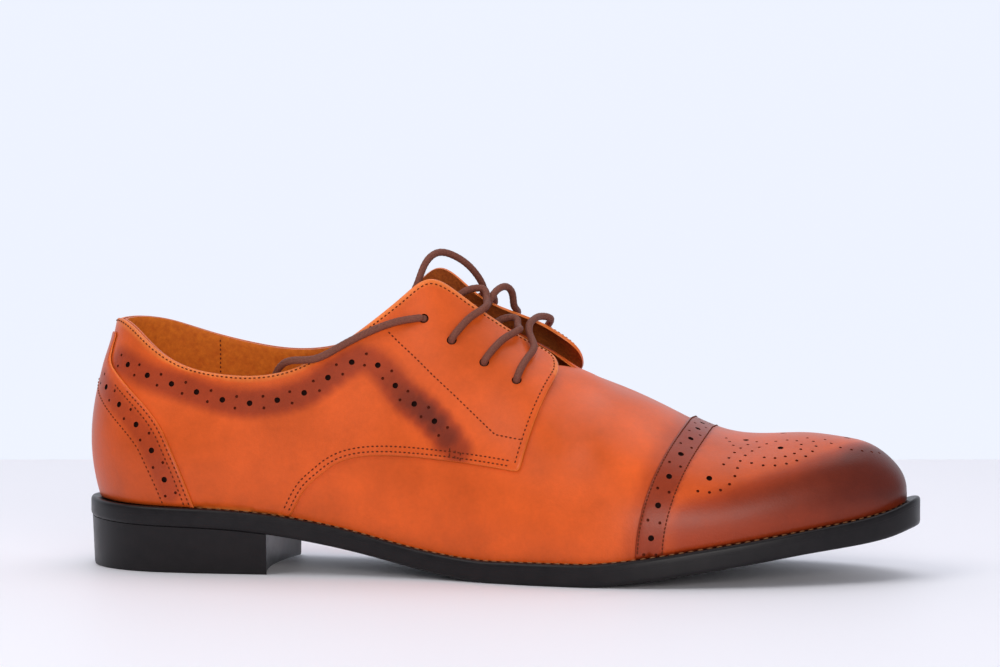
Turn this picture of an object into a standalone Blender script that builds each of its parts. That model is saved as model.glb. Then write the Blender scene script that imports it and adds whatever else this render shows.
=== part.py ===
"""Cap-toe derby shoe for the right foot, untied, standing empty on its sole.

The shoe is worked out on its last, in millimetres. Stations run along the foot from the back of the heel.
A place on the wall is a station and a rise, which goes from 0 at the sole to 1 at the top of the wall.
The toe points to +X, the outer (lateral) side to -Y and up is +Z. The origin is under the middle of the sole.
"""

import bmesh
import bpy
import numpy as np

MM = 0.001
LATERAL, MEDIAL = -1, 1
SIDE_NAME = {LATERAL: "lateral", MEDIAL: "medial"}


def table(columns, rows):
    """A short table, read by the names of its columns."""
    values = np.array(rows, float)
    return {name: values[:, k] for k, name in enumerate(columns.split())}


# Main sizes
LENGTH = 302.0  # outsole, heel to toe
WALL = 1.5  # thickness of the lasted wall
QUARTER_THICK = 1.2
CAP_THICK = 1.0
COUNTER_THICK = 1.0
TONGUE_THICK = 2.0
GAP = 0.3  # between pieces that touch
WELT_THICK = 2.4
WELT_UNDER = 3.0  # how far the welt runs in under the upper
WELT_ROUND = 1.1  # height of its rounded upper edge
SOLE_ROUND = 1.3  # width of the tread's rounded edge
INSOLE_THICK = 3.0
INSOLE_CLEAR = 0.6  # from the insole to the wall, and the bevel of its edge
BREAST = 71.5  # station of the heel's front face
BREAST_HOLLOW = 4.0
HEEL_INSET = 0.5  # heel inside the sole's edge
HEEL_TAPER = 1.2
HEEL_ROUND = 0.8
THROAT = 178.0  # station of the front end of the throat
COLLAR_END = 112.0  # station where the collar turns into the throat
FACING_BACK = 0.11  # part of the rise by which the wall ends below the facings
LACE_RADIUS = 1.3

# How finely the faces are cut
RING_STEPS = 40
WALL_ROWS = 11
QUARTER_ROWS = 9
FLAP_STEPS, FLAP_CROWD = 11, 1.35  # columns of the flap, and how far they crowd to its front
COUNTER_STEPS = 11
TONGUE_STEPS = 11
TONGUE_ROWS = 7
HEEL_STEPS = 13
LACE_STEP = 6.0
LACE_SIDES = 6

# Outline of the outsole, from the line that joins the back of the heel and the tip of the toe
OUTLINE = table("station lateral medial", [
    (0, 0, 0), (10, 22, 22), (20, 29, 29), (35, 33, 33), (55, 34, 33.5), (80, 34, 31),
    (110, 35.5, 27), (130, 39, 29), (150, 45, 36), (170, 50.5, 43.5), (190, 53.5, 48.5),
    (210, 53.5, 50), (230, 50, 48.5), (250, 43.5, 44), (270, 34, 36.5), (285, 24.5, 27.5),
    (295, 15.5, 17.5), (302, 0, 0)])

# Height of the sole's underside, and thickness of its edge with the welt
SOLE = table("station underside edge", [
    (0, 18.4, 6.6), (35, 16.6, 6.7), (71, 14.5, 6.9), (85, 12.4, 7.0), (102, 9.2, 6.9),
    (120, 5.1, 6.7), (139, 1.4, 7.1), (152, 0.0, 7.4), (170, -0.6, 7.6), (190, 0.1, 7.7),
    (212, 2.7, 7.8), (229, 5.4, 7.8), (246, 8.1, 7.8), (263, 10.9, 7.9), (280, 13.2, 8.5),
    (293, 15.6, 9.3), (299, 17.6, 9.8), (302, 18.3, 9.9)])

# Lower edge of the wall inside the sole's edge, its swell above that edge, and the shoulder below its top
WALL_FORM = table("station inset swell rise shoulder drop", [
    (0, 6.3, 8.2, 0.42, 4.2, 0.34), (35, 6.0, 6.6, 0.42, 2.8, 0.34), (60, 5.0, 4.0, 0.42, 3.0, 0.34),
    (85, 4.4, 2.5, 0.42, 5.0, 0.32), (110, 3.7, 2.0, 0.42, 8.0, 0.28), (130, 3.6, 2.5, 0.44, 11.0, 0.20),
    (150, 3.6, 3.5, 0.46, 16.0, 0.12), (170, 3.6, 4.5, 0.48, 24.0, 0.04), (185, 3.6, 4.5, 0.50, 29.0, 0.0),
    (205, 3.8, 4.5, 0.54, 31.0, 0.0), (225, 4.6, 4.5, 0.58, 31.0, 0.0), (250, 4.8, 4.5, 0.62, 27.0, 0.0),
    (275, 4.8, 4.0, 0.62, 20.0, 0.0), (292, 5.2, 3.0, 0.62, 11.0, 0.0), (302, 6.2, 2.0, 0.62, 0.0, 0.0)])

# Top of the wall: collar, then the facings' edges beside the throat, then the ridge of vamp and toe
TOP = table("station forward middle lateral medial lateral_height medial_height", [
    (0, 4.8, 0, 0, 0, 88.9, 88.9), (10, 4.5, 0, 13.5, 13.5, 87.2, 89.2), (20, 3.9, 0, 19.0, 19.0, 81.4, 87.4),
    (35, 2.7, 0, 23.0, 23.0, 74.4, 83.4), (55, 1.0, 0, 25.5, 25.0, 70.8, 79.0),
    (80, 0, 0.5, 25.0, 22.5, 73.2, 77.5), (95, 0, 1.0, 23.0, 20.5, 81.0, 81.5),
    (110, 0, 1.5, 18.5, 17.5, 92.4, 93.0), (118, 0, 2.0, 15.5, 15.0, 99.4, 102.2),
    (125, 0, 2.0, 13.0, 13.0, 104.4, 107.4), (136, 0, 2.0, 12.0, 12.0, 99.6, 100.2),
    (148, 0, 2.0, 10.5, 10.5, 89.9, 92.0), (160, 0, 2.0, 9.0, 8.5, 80.6, 84.8),
    (170, 0, 2.0, 5.5, 5.0, 75.2, 77.6), (178, 0, 2.0, 0, 0, 72.9, 72.9), (190, 0, 2.0, 0, 0, 67.8, 67.8),
    (205, 0, 2.0, 0, 0, 61.8, 61.8), (220, 0, 2.0, 0, 0, 54.6, 54.6), (232, 0, 1.8, 0, 0, 50.0, 50.0),
    (245, 0, 1.6, 0, 0, 48.5, 48.5), (262, 0, 1.2, 0, 0, 49.1, 49.1), (275, 0, 0.8, 0, 0, 48.0, 48.0),
    (285, 0, 0.5, 0, 0, 46.2, 46.2), (295, 0, 0.2, 0, 0, 40.6, 40.6), (302, 0, 0, 0, 0, 29.6, 29.6)])
ROUND_BACK, ROUND_SPAN = 25.0, 55.0  # the wall faces away from the heel's centre up to here, then straight out

# Quarters: their lower edge as height over the floor, and the flap at their front
QUARTER_EDGE = table("station height", [
    (79.5, 20.5), (82.5, 26.6), (85, 30.7), (89, 34.6), (94, 38.7), (100, 41.6), (108, 43.0), (120, 43.1),
    (132, 42.4), (148, 40.9), (163, 39.0)])
FLAP_BACK, FLAP_FRONT = 113.0, 163.0  # stations of the flap's lower edge
FLAP_SLANT = {LATERAL: 9.5, MEDIAL: 12.5}  # how far its front edge leans to the toe
FLAP_CORNER = {LATERAL: 10.0, MEDIAL: 12.0}  # length along the facing of its rounded upper corner
FLAP_CUT = {LATERAL: 0.2, MEDIAL: 0.22}  # part of the rise by which the corner falls
FLAP_LIFT = {LATERAL: 2.6, MEDIAL: 5.2}  # how far the untied flap stands off the vamp at its front corner
LIFT_START, LIFT_SPAN = 138.0, 36.0  # stations over which it comes away
LIFT_RISE = 0.45  # below this rise it lies on the vamp

# Rear edge of the toe cap: station at the ridge and beside the sole, and how it sweeps back between them
CAP_RIDGE = 220.0
CAP_SIDE = {LATERAL: 206.0, MEDIAL: 209.0}
CAP_SWEEP = 1.2

# Front edge of the counter, which narrows to a strip up the back seam
COUNTER = table("rise station", [
    (0.0, 44.6), (0.13, 41.7), (0.26, 38.5), (0.39, 34.6), (0.49, 31.0), (0.57, 26.2), (0.63, 19.6),
    (0.675, 11.8), (0.72, 5.6), (0.79, 2.8), (0.92, 3.3)])

# Middle line of the tongue, its half width and the radius of its arch
TONGUE = table("station height half arch", [
    (116, 96.5, 14.0, 26), (126, 92.5, 14.5, 28), (140, 86.0, 16.0, 30), (154, 78.8, 17.5, 32),
    (166, 73.0, 18.0, 34), (180, 67.6, 18.0, 36)])
TONGUE_MIDDLE = 2.0  # distance across of its middle line
TONGUE_TIP, TONGUE_NARROW = 0.12, 0.35  # part of its length that narrows to its end, and by how much
TONGUE_UP = np.array([0.45, 0.0, 0.89])  # square to its sheet

# Ways of the lace. On a flap: side, station, rise and height over the leather. In the open: FREE, station,
# distance across and height over the floor.
FREE = 0
OVER = 2.0  # from the leather to the middle of a lace that lies on it
EYELETS = [(159.3, 0.695), (147.3, 0.705), (135.5, 0.73), (125.4, 0.80)]  # station and rise, from the toe end
FRONT_BAR = [
    (LATERAL, *EYELETS[0], OVER), (LATERAL, 160.8, 0.80, OVER), (LATERAL, 161.8, 0.90, 2.2),
    (FREE, 162.8, -9.0, 86.0), (FREE, 162.4, -6.0, 88.6), (FREE, 163.4, -1.0, 90.4), (FREE, 164.6, 4.5, 91.0),
    (MEDIAL, 161.4, 0.985, 2.8), (MEDIAL, 160.8, 0.90, 2.2), (MEDIAL, 160.0, 0.80, OVER),
    (MEDIAL, *EYELETS[0], OVER)]
UNDER_FLAPS = [(FREE, 135.4, -2.2, 93.0), (FREE, 141.0, -1.0, 90.4), (FREE, 148.5, -2.2, 86.4)]
CROSSINGS = {
    "second_lateral": [
        (LATERAL, *EYELETS[1], OVER), (LATERAL, 150.0, 0.79, OVER), (LATERAL, 152.8, 0.88, 2.2),
        (LATERAL, 155.3, 0.96, 3.2), (FREE, 158.2, -6.5, 88.2), (FREE, 157.2, -3.0, 90.6),
        (FREE, 152.8, -2.0, 90.6), (FREE, 149.0, -2.8, 88.6), (FREE, 147.0, -2.2, 87.0)],
    "third_lateral": [
        (LATERAL, *EYELETS[2], OVER), (LATERAL, 138.3, 0.81, OVER), (LATERAL, 141.0, 0.89, 2.2),
        (LATERAL, 143.6, 0.965, 3.2), (FREE, 147.0, -7.0, 97.8), (FREE, 145.6, -3.6, 101.0),
        (FREE, 141.0, -2.4, 101.2), (FREE, 136.8, -3.2, 99.0), (FREE, 135.2, -3.0, 95.4),
        (FREE, 136.4, -2.0, 92.2)],
    "second_medial": [
        (FREE, 141.0, -1.0, 90.4), (FREE, 145.0, -3.5, 93.0), (FREE, 147.6, -2.5, 97.4),
        (FREE, 149.8, 1.5, 100.8), (FREE, 152.2, 6.0, 101.6), (FREE, 153.8, 10.2, 98.8),
        (FREE, 154.0, 13.2, 94.4), (MEDIAL, 151.0, 0.93, 2.6), (MEDIAL, 149.2, 0.82, OVER), (MEDIAL, *EYELETS[1], OVER)],
    "third_medial": [
        (MEDIAL, *EYELETS[2], OVER), (MEDIAL, 139.5, 0.84, OVER), (MEDIAL, 143.0, 0.94, 2.4),
        (FREE, 146.0, 12.0, 98.0), (FREE, 146.0, 8.0, 96.6), (FREE, 144.8, 3.5, 93.6),
        (FREE, 143.0, -0.5, 90.0)]}
LACE_ENDS = {
    "lace_end_lateral": [
        (LATERAL, *EYELETS[3], OVER), (LATERAL, 117.0, 0.862, OVER), (LATERAL, 106.1, 0.94, OVER),
        (LATERAL, 96.2, 0.972, OVER), (LATERAL, 88.0, 0.985, 2.4), (FREE, 79.5, -24.8, 76.2),
        (FREE, 73.6, -20.6, 72.8), (FREE, 71.0, -19.8, 65.5), (FREE, 70.0, -20.6, 57.5),
        (FREE, 69.6, -21.4, 50.0)],
    "lace_end_medial": [
        (MEDIAL, *EYELETS[3], OVER), (MEDIAL, 131.5, 0.855, OVER), (MEDIAL, 137.5, 0.925, 2.6),
        (FREE, 142.4, 13.8, 101.6), (FREE, 140.8, 11.6, 105.2), (FREE, 137.5, 9.2, 109.4),
        (FREE, 133.2, 6.4, 112.6), (FREE, 128.1, 2.2, 114.0), (FREE, 124.6, -2.4, 111.2),
        (FREE, 122.4, -6.4, 105.0), (FREE, 120.6, -8.4, 100.2), (FREE, 118.0, -9.6, 96.4),
        (FREE, 114.8, -10.2, 91.8), (FREE, 112.2, -10.6, 86.6)]}


def turn(station):
    """Station as a part of a half turn, so that equal steps crowd together at heel and toe."""
    return np.arccos(np.clip(1 - 2 * np.asarray(station, float) / LENGTH, -1, 1)) / np.pi


def station_at(u):
    return LENGTH * (1 - np.cos(np.pi * np.asarray(u, float))) / 2


def smooth(x):
    x = np.clip(x, 0, 1)
    return x * x * (3 - 2 * x)


def natural_spline(knots, values):
    """The natural cubic spline through the knots, as a function."""
    count, step = len(knots), np.diff(knots)
    system, right = np.eye(count), np.zeros(count)
    for i in range(1, count - 1):
        system[i, i - 1:i + 2] = step[i - 1], 2 * (step[i - 1] + step[i]), step[i]
        right[i] = 6 * ((values[i + 1] - values[i]) / step[i] - (values[i] - values[i - 1]) / step[i - 1])
    bend = np.linalg.solve(system, right)

    def at(x):
        k = np.clip(np.searchsorted(knots, x) - 1, 0, count - 2)
        d = x - knots[k]
        slope = (values[k + 1] - values[k]) / step[k] - step[k] * (2 * bend[k] + bend[k + 1]) / 6
        return values[k] + d * (slope + d * (bend[k] / 2 + d * (bend[k + 1] - bend[k]) / (6 * step[k])))

    return at


def columns_of(rows):
    """Each column of a table of stations as a smooth function of the half turn."""
    knots = turn(rows["station"])
    return {name: natural_spline(knots, values) for name, values in rows.items() if name != "station"}


outline_of = columns_of(OUTLINE)
sole_of = columns_of(SOLE)
form_of = columns_of(WALL_FORM)
top_of = columns_of(TOP)

# Half turns of the columns of points, and there the wall's lower edge and the welt's inner edge
U = np.linspace(0, 1, RING_STEPS + 1)
FEATHER = form_of["inset"](U)
WELT_INNER = FEATHER + WELT_UNDER
AXIS_SHIFT = (outline_of["lateral"](U).max() - outline_of["medial"](U).max()) / 2


def underside(u):
    """Height of the tread side of the sole: flat on the floor under the ball."""
    return np.maximum(sole_of["underside"](u), 0.0)


def ledge(u):
    """Height of the welt's top face."""
    return underside(u) + sole_of["edge"](u)


def outline(u, side, inset):
    """Plan of the sole's edge, moved inwards by inset, and the direction outwards there."""
    def edge(v):
        return np.stack([station_at(v), side * outline_of[SIDE_NAME[side]](v)], -1)

    along = edge(u + 1e-4) - edge(u - 1e-4)
    outward = np.stack([-along[..., 1], along[..., 0]], -1) * side
    outward /= np.linalg.norm(outward, axis=-1, keepdims=True)
    return edge(u) - np.asarray(inset)[..., None] * outward, outward


def wall_controls(u, side):
    """The four points that shape the wall's profile at u: lower edge, swell, shoulder and top."""
    name = SIDE_NAME[side]
    foot, outward = outline(u, side, form_of["inset"](u))
    straight = smooth((station_at(u) - ROUND_BACK) / ROUND_SPAN)[..., None]
    across = np.stack([np.zeros_like(u), np.full_like(u, side)], -1)
    outward = outward * (1 - straight) + across * straight
    low = ledge(turn(foot[..., 0])) + GAP
    high = top_of[name + "_height"](u)
    height = high - low
    top = np.stack([foot[..., 0] + top_of["forward"](u), top_of["middle"](u) + side * top_of[name](u)], -1)
    swell = foot + outward * form_of["swell"](u)[..., None]
    shoulder = top + outward * form_of["shoulder"](u)[..., None]
    plan = (foot, swell, shoulder, top)
    level = (low, low + form_of["rise"](u) * height, high - form_of["drop"](u) * height, high)
    return [np.concatenate([p, z[..., None]], -1) for p, z in zip(plan, level)]


def wall_point(u, rise, side):
    a, b, c, d = wall_controls(u, side)
    t = np.asarray(rise, float)[..., None]
    return a * (1 - t) ** 3 + 3 * b * (1 - t) ** 2 * t + 3 * c * (1 - t) * t ** 2 + d * t ** 3


def wall_normal(u, rise, side):
    u = np.clip(u, 0.0, 0.994)  # short of the tip, where the two sides meet in a point
    a, b, c, d = wall_controls(u, side)
    t = np.asarray(rise, float)[..., None]
    up = (b - a) * (1 - t) ** 2 + 2 * (c - b) * (1 - t) * t + (d - c) * t ** 2
    along = wall_point(u + 1e-3, rise, side) - wall_point(u - 1e-3, rise, side)
    normal = np.cross(along, up) * -side
    return normal / np.linalg.norm(normal, axis=-1, keepdims=True)


def skin(u, rise, side, offset):
    """Point of the last's surface, pushed out from the upper's wall by offset, and clear of the welt."""
    u, rise = np.broadcast_arrays(np.asarray(u, float), np.asarray(rise, float))
    point = wall_point(u, rise, side) + wall_normal(u, rise, side) * np.asarray(offset)[..., None]
    point[..., 2] = np.maximum(point[..., 2], ledge(turn(point[..., 0])) + GAP)
    return point


def rise_at(u, height, side):
    """How far up the wall's profile it reaches the given height over the floor."""
    steps = np.linspace(0, 1, 201)
    found = []
    for v, z in zip(u, height):
        profile = wall_point(np.full_like(steps, v), steps, side)
        found.append(np.interp(z, profile[:, 2], steps))
    return np.array(found)


def to_frame(points):
    """Stations and distances in millimetres to metres in the part's frame."""
    return (np.asarray(points, float) + (-LENGTH / 2, AXIS_SHIFT, 0)) * MM


def material(name, colour, roughness):
    made = bpy.data.materials.new(name)
    made.use_nodes = True
    shader = made.node_tree.nodes["Principled BSDF"]
    shader.inputs["Base Color"].default_value = (*colour, 1)
    shader.inputs["Roughness"].default_value = roughness
    shader.inputs["Metallic"].default_value = 0.0
    return made


TAN = material("tan_leather", (0.62, 0.13, 0.03), 0.4)
BURNISHED = material("burnished_leather", (0.45, 0.09, 0.03), 0.38)
LINING = material("lining_leather", (0.33, 0.12, 0.02), 0.8)
BLACK = material("black_rubber", (0.012, 0.012, 0.013), 0.45)
LACE = material("brown_lace", (0.13, 0.05, 0.04), 0.6)


def solid(name, points, faces, finish):
    """One closed object from points in millimetres. Points that coincide become one."""
    mesh = bpy.data.meshes.new(name)
    mesh.from_pydata(to_frame(points).tolist(), [], [[int(v) for v in face] for face in faces])
    work = bmesh.new()
    work.from_mesh(mesh)
    bmesh.ops.remove_doubles(work, verts=work.verts, dist=1e-6)
    bmesh.ops.recalc_face_normals(work, faces=work.faces)
    work.to_mesh(mesh)
    work.free()
    mesh.materials.append(finish)
    mesh.shade_smooth()
    mesh.set_sharp_from_angle(angle=0.7)
    obj = bpy.data.objects.new(name, mesh)
    bpy.context.scene.collection.objects.link(obj)
    return obj


def strip(first, second):
    """Quads between two equally long runs of point numbers."""
    return [(first[k], first[k + 1], second[k + 1], second[k]) for k in range(len(first) - 1)]


def shell(name, outer, inner, finish, top_open=None, ends=True):
    """A sheet between two grids of points [column, row], closed round its edges.

    top_open says for each step between columns whether the sheet has an edge there at its last row.
    """
    columns, rows = outer.shape[:2]
    number = np.arange(columns * rows).reshape(columns, rows)
    back = number + columns * rows
    faces = []
    for j in range(columns - 1):
        faces += strip(number[j], number[j + 1])
        faces += strip(back[j + 1], back[j])
        faces.append((number[j, 0], number[j + 1, 0], back[j + 1, 0], back[j, 0]))
        if top_open is None or top_open[j]:
            faces.append((number[j + 1, -1], number[j, -1], back[j, -1], back[j + 1, -1]))
    if ends:
        faces += strip(back[0], number[0])
        faces += strip(number[-1], back[-1])
    return solid(name, np.concatenate([outer.reshape(-1, 3), inner.reshape(-1, 3)]), faces, finish)


def ring(inset, level, above=0.0):
    """Closed run of points round the sole: back of the heel, lateral side, toe and medial side.

    level gives the height at each half turn, and above is added to it.
    """
    inset = np.broadcast_to(inset, U.shape)
    lateral, _ = outline(U, LATERAL, inset)
    medial, _ = outline(U[1:-1], MEDIAL, inset[1:-1])
    plan = np.concatenate([lateral, medial[::-1]])
    return np.concatenate([plan, (level(turn(plan[:, 0])) + above)[:, None]], 1)


def closed_rows(count, rows):
    """Numbers of the points of stacked rings, and the same with each ring's first point again at its end."""
    number = np.arange(count * rows).reshape(rows, count)
    return number, np.concatenate([number, number[:, :1]], 1)


def ring_body(name, rings, finish, hollow):
    """Rings stacked into one body: a closed frame when hollow, or else capped at both ends."""
    count = len(rings[0])
    number, closed = closed_rows(count, len(rings))
    faces = []
    for k in range(len(rings) - (0 if hollow else 1)):
        faces += strip(closed[k], closed[(k + 1) % len(rings)])
    if not hollow:
        half = count // 2
        for row in (number[0], number[-1]):
            faces += strip(row[:half + 1], np.concatenate([row[:1], row[half:][::-1]]))
    return solid(name, np.concatenate(rings), faces, finish)


def make_outsole():
    """The sole with a step for the welt round its upper edge, and a rounded tread edge."""
    seat = -WELT_THICK - GAP
    step = WELT_INNER + GAP
    rings = [
        ring(step, ledge), ring(step, ledge, seat), ring(0.3, ledge, seat), ring(0.0, ledge, seat - 0.7),
        ring(0.1, underside, 1.0), ring(0.5, underside, 0.3), ring(SOLE_ROUND, underside)]
    return ring_body("outsole", rings, BLACK, hollow=False)


def make_welt():
    rings = [
        ring(WELT_INNER, ledge), ring(FEATHER, ledge), ring(1.0, ledge), ring(0.3, ledge, -0.4),
        ring(0.0, ledge, -WELT_ROUND), ring(0.2, ledge, -WELT_THICK), ring(WELT_INNER, ledge, -WELT_THICK)]
    return ring_body("welt", rings, BLACK, hollow=True)


def make_insole():
    inset = FEATHER + WALL + INSOLE_CLEAR
    top = GAP + INSOLE_THICK
    rings = [
        ring(inset + INSOLE_CLEAR, ledge, top), ring(inset, ledge, top - INSOLE_CLEAR),
        ring(inset, ledge, GAP)]
    return ring_body("insole", rings, LINING, hollow=False)


def make_heel():
    """The block under the seat, narrower at the floor, with a hollowed front face."""
    u = np.linspace(0, float(turn(BREAST)), HEEL_STEPS)
    across = np.linspace(-1, 1, 9)[1:-1]

    def level(inset, height):
        lateral, _ = outline(u, LATERAL, np.full_like(u, inset))
        medial, _ = outline(u[1:], MEDIAL, np.full_like(u[1:], inset))
        middle = (lateral[-1, 1] + medial[-1, 1]) / 2
        half = (medial[-1, 1] - lateral[-1, 1]) / 2
        front = np.stack([BREAST - BREAST_HOLLOW * (1 - across ** 2), middle + half * across], -1)
        plan = np.concatenate([lateral, front, medial[::-1]])
        return np.concatenate([plan, height(turn(plan[:, 0]))[:, None]], 1)

    rows = [
        level(HEEL_TAPER + HEEL_ROUND, np.zeros_like),
        level(HEEL_TAPER, lambda v: np.full_like(v, HEEL_ROUND)),
        level(HEEL_INSET, lambda v: underside(v) - GAP)]
    number, closed = closed_rows(len(rows[0]), len(rows))
    faces = strip(closed[0], closed[1]) + strip(closed[1], closed[2]) + [number[0], number[2]]
    return solid("heel", np.concatenate(rows), faces, BLACK)


def wall_top(u):
    """Where the wall ends up its profile: at the collar, below the facings, and at the ridge."""
    s = station_at(u)
    after_collar = smooth((s - COLLAR_END) / 12)
    before_throat = 1 - smooth((s - THROAT + 20) / 20)
    return 1 - FACING_BACK * after_collar * before_throat


def make_upper():
    rows = np.linspace(0, 1, WALL_ROWS)
    u = np.unique(np.concatenate([U, turn([THROAT])]))
    grid_u = np.repeat(u[:, None], WALL_ROWS, 1)
    grid_rise = wall_top(u)[:, None] * rows
    joined = station_at(u) >= THROAT - 1e-6
    sheets = []
    for offset in (0.0, -WALL):
        lateral = skin(grid_u, grid_rise, LATERAL, offset)
        medial = skin(grid_u, grid_rise, MEDIAL, offset)
        medial[joined, -1] = lateral[joined, -1]
        medial[0] = lateral[0]
        tip = lateral[-1, 0]
        lateral[-1], medial[-1] = tip, tip
        sheets.append(np.concatenate([lateral[::-1], medial[1:]]))
    top_open = ~joined[:-1]
    return shell("upper", *sheets, TAN, np.concatenate([top_open[::-1], top_open]), ends=False)


def flap_lift(station, rise, side):
    """How far the untied flap stands away from the vamp."""
    forward = smooth((station - LIFT_START) / LIFT_SPAN)
    return FLAP_LIFT[side] * forward * smooth((rise - LIFT_RISE) / (1 - LIFT_RISE))


def quarter_grid(side):
    """Station and rise of the quarter's points, in columns from the back seam to the flap's front."""
    lower = QUARTER_EDGE["station"]
    round_heel = station_at(U[(U > 0) & (station_at(U) < lower[0] - 4)])
    flap = FLAP_FRONT - (FLAP_FRONT - FLAP_BACK) * np.linspace(1, 0, FLAP_STEPS) ** FLAP_CROWD
    foot = np.concatenate([[0.0006], round_heel, lower[lower < FLAP_BACK], flap])
    low = rise_at(turn(foot), np.interp(foot, lower, QUARTER_EDGE["height"]), side)
    low[foot <= lower[0]] = 0.0
    part = np.linspace(0, 1, QUARTER_ROWS)
    station = foot[:, None] + FLAP_SLANT[side] * smooth((foot - 100) / 50)[:, None] * part
    corner = FLAP_FRONT + FLAP_SLANT[side] - FLAP_CORNER[side]
    into_corner = np.clip((station[:, -1] - corner) / FLAP_CORNER[side], 0, 1)
    high = 1 - FLAP_CUT[side] * (1 - np.sqrt(1 - into_corner ** 2))
    return station, low[:, None] + (high - low)[:, None] * part


def make_quarter(side):
    station, rise = quarter_grid(side)
    lift = flap_lift(station, rise, side)
    outer = skin(turn(station), rise, side, GAP + QUARTER_THICK + lift)
    inner = skin(turn(station), rise, side, GAP + lift)
    return shell("quarter_" + SIDE_NAME[side], outer, inner, TAN)


def make_toe_cap():
    rows = np.linspace(0, 1, WALL_ROWS)
    toe = U[U > turn(CAP_RIDGE) + 0.5 / RING_STEPS]
    part = np.linspace(0, 1, 3, endpoint=False)[:, None]
    sheets = []
    for offset in (GAP + CAP_THICK, GAP):
        halves = []
        for side in (LATERAL, MEDIAL):
            first = turn(CAP_RIDGE + (CAP_SIDE[side] - CAP_RIDGE) * smooth((1 - rows) ** CAP_SWEEP))
            u = np.concatenate([first + (toe[0] - first) * part, np.repeat(toe[:, None], WALL_ROWS, 1)])
            halves.append(skin(u, rows, side, offset))
        lateral, medial = halves
        medial[:, -1] = lateral[:, -1]
        tip = lateral[-1, 0]
        lateral[-1], medial[-1] = tip, tip
        sheets.append(np.concatenate([lateral, medial[:, -2::-1]], 1))
    return shell("toe_cap", *sheets, BURNISHED)


def make_counter():
    u = np.linspace(0, 1, COUNTER_STEPS)[:, None] * turn(COUNTER["station"])
    sheets = []
    for offset in (2 * GAP + QUARTER_THICK + COUNTER_THICK, 2 * GAP + QUARTER_THICK):
        lateral, medial = (skin(u, COUNTER["rise"], side, offset) for side in (LATERAL, MEDIAL))
        medial[0] = lateral[0]
        sheets.append(np.concatenate([lateral[::-1], medial[1:]]))
    return shell("counter", *sheets, BURNISHED)


def make_tongue():
    station = np.linspace(TONGUE["station"][0], TONGUE["station"][-1], TONGUE_STEPS)
    height, half, arch = (
        natural_spline(TONGUE["station"], TONGUE[name])(station)[:, None]
        for name in ("height", "half", "arch"))
    tip = 1 - smooth(np.linspace(0, 1, TONGUE_STEPS)[:, None] / TONGUE_TIP)
    y = half * (1 - TONGUE_NARROW * tip) * np.linspace(-1, 1, TONGUE_ROWS)
    along = np.broadcast_to(station[:, None], y.shape)
    middle = np.stack([along, y + TONGUE_MIDDLE, height - y ** 2 / (2 * arch)], -1)
    half_up = TONGUE_UP * TONGUE_THICK / 2
    return shell("tongue", middle + half_up, middle - half_up, TAN)


def lace_way(route, step):
    """Points at equal steps along a smooth curve through the route."""
    knots = []
    for where, first, second, third in route:
        if where == FREE:
            knots.append((first, second, third))
            continue
        offset = GAP + QUARTER_THICK + flap_lift(first, second, where) + third
        knots.append(skin(turn(first), second, where, offset))
    knots = np.array(knots)
    along = np.concatenate([[0], np.cumsum(np.linalg.norm(np.diff(knots, axis=0), axis=1))])
    even = np.linspace(0, along[-1], max(3, round(along[-1] / step) + 1))
    return np.stack([natural_spline(along, knots[:, k])(even) for k in range(3)], -1)


def tube(name, points):
    """A lace with flat ends along the points."""
    along = np.gradient(points, axis=0)
    along /= np.linalg.norm(along, axis=1, keepdims=True)
    across = np.cross(along[0], (0, 1, 0))
    turns = np.arange(LACE_SIDES) * 2 * np.pi / LACE_SIDES
    rings = []
    for point, ahead in zip(points, along):
        across = across - ahead * (across @ ahead)
        across /= np.linalg.norm(across)
        beside = np.cross(ahead, across)
        circle = np.outer(np.cos(turns), across) + np.outer(np.sin(turns), beside)
        rings.append(point + LACE_RADIUS * circle)
    number, closed = closed_rows(LACE_SIDES, len(points))
    faces = [face for k in range(len(points) - 1) for face in strip(closed[k], closed[k + 1])]
    return solid(name, np.concatenate(rings), faces + [number[0], number[-1]], LACE)


def make_lace_crossings():
    """The slack crossings behind the front bar, joined where they lie on each other under the flaps."""
    crossings = tube("lace_crossings", lace_way(UNDER_FLAPS, LACE_STEP))
    for name, route in CROSSINGS.items():
        other = tube(name, lace_way(route, LACE_STEP))
        other.hide_render = True
        other.display_type = "WIRE"
        join = crossings.modifiers.new(name, "BOOLEAN")
        join.operation = "UNION"
        join.object = other


def make_lace_end(name, route):
    curve = bpy.data.curves.new(name, "CURVE")
    curve.dimensions = "3D"
    curve.bevel_depth = LACE_RADIUS * MM
    curve.bevel_resolution = 2
    curve.use_fill_caps = True
    curve.materials.append(LACE)
    points = to_frame(lace_way(route, 5 * LACE_RADIUS))
    line = curve.splines.new("POLY")
    line.points.add(len(points) - 1)
    for spot, point in zip(line.points, points):
        spot.co = (*point, 1)
    bpy.context.scene.collection.objects.link(bpy.data.objects.new(name, curve))


def main():
    for old in list(bpy.data.objects):
        bpy.data.objects.remove(old)
    make_outsole()
    make_heel()
    make_welt()
    make_insole()
    make_upper()
    make_tongue()
    for side in (LATERAL, MEDIAL):
        make_quarter(side)
    make_toe_cap()
    make_counter()
    tube("lace_bar", lace_way(FRONT_BAR, LACE_STEP))
    make_lace_crossings()
    for name, route in LACE_ENDS.items():
        make_lace_end(name, route)


main()
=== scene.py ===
"""Looks of a cap-toe derby shoe for the right foot: leather, seams, punched holes, laces and sole.

The shoe is worked out on the same last as its solids, in millimetres. A place on the wall is a station along
the foot, from the back of the heel, and a rise, from 0 at the sole to 1 at the top of the wall.
"""

import bmesh
import bpy
import numpy as np
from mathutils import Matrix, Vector
from mathutils.geometry import delaunay_2d_cdt
from mathutils.kdtree import KDTree


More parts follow.
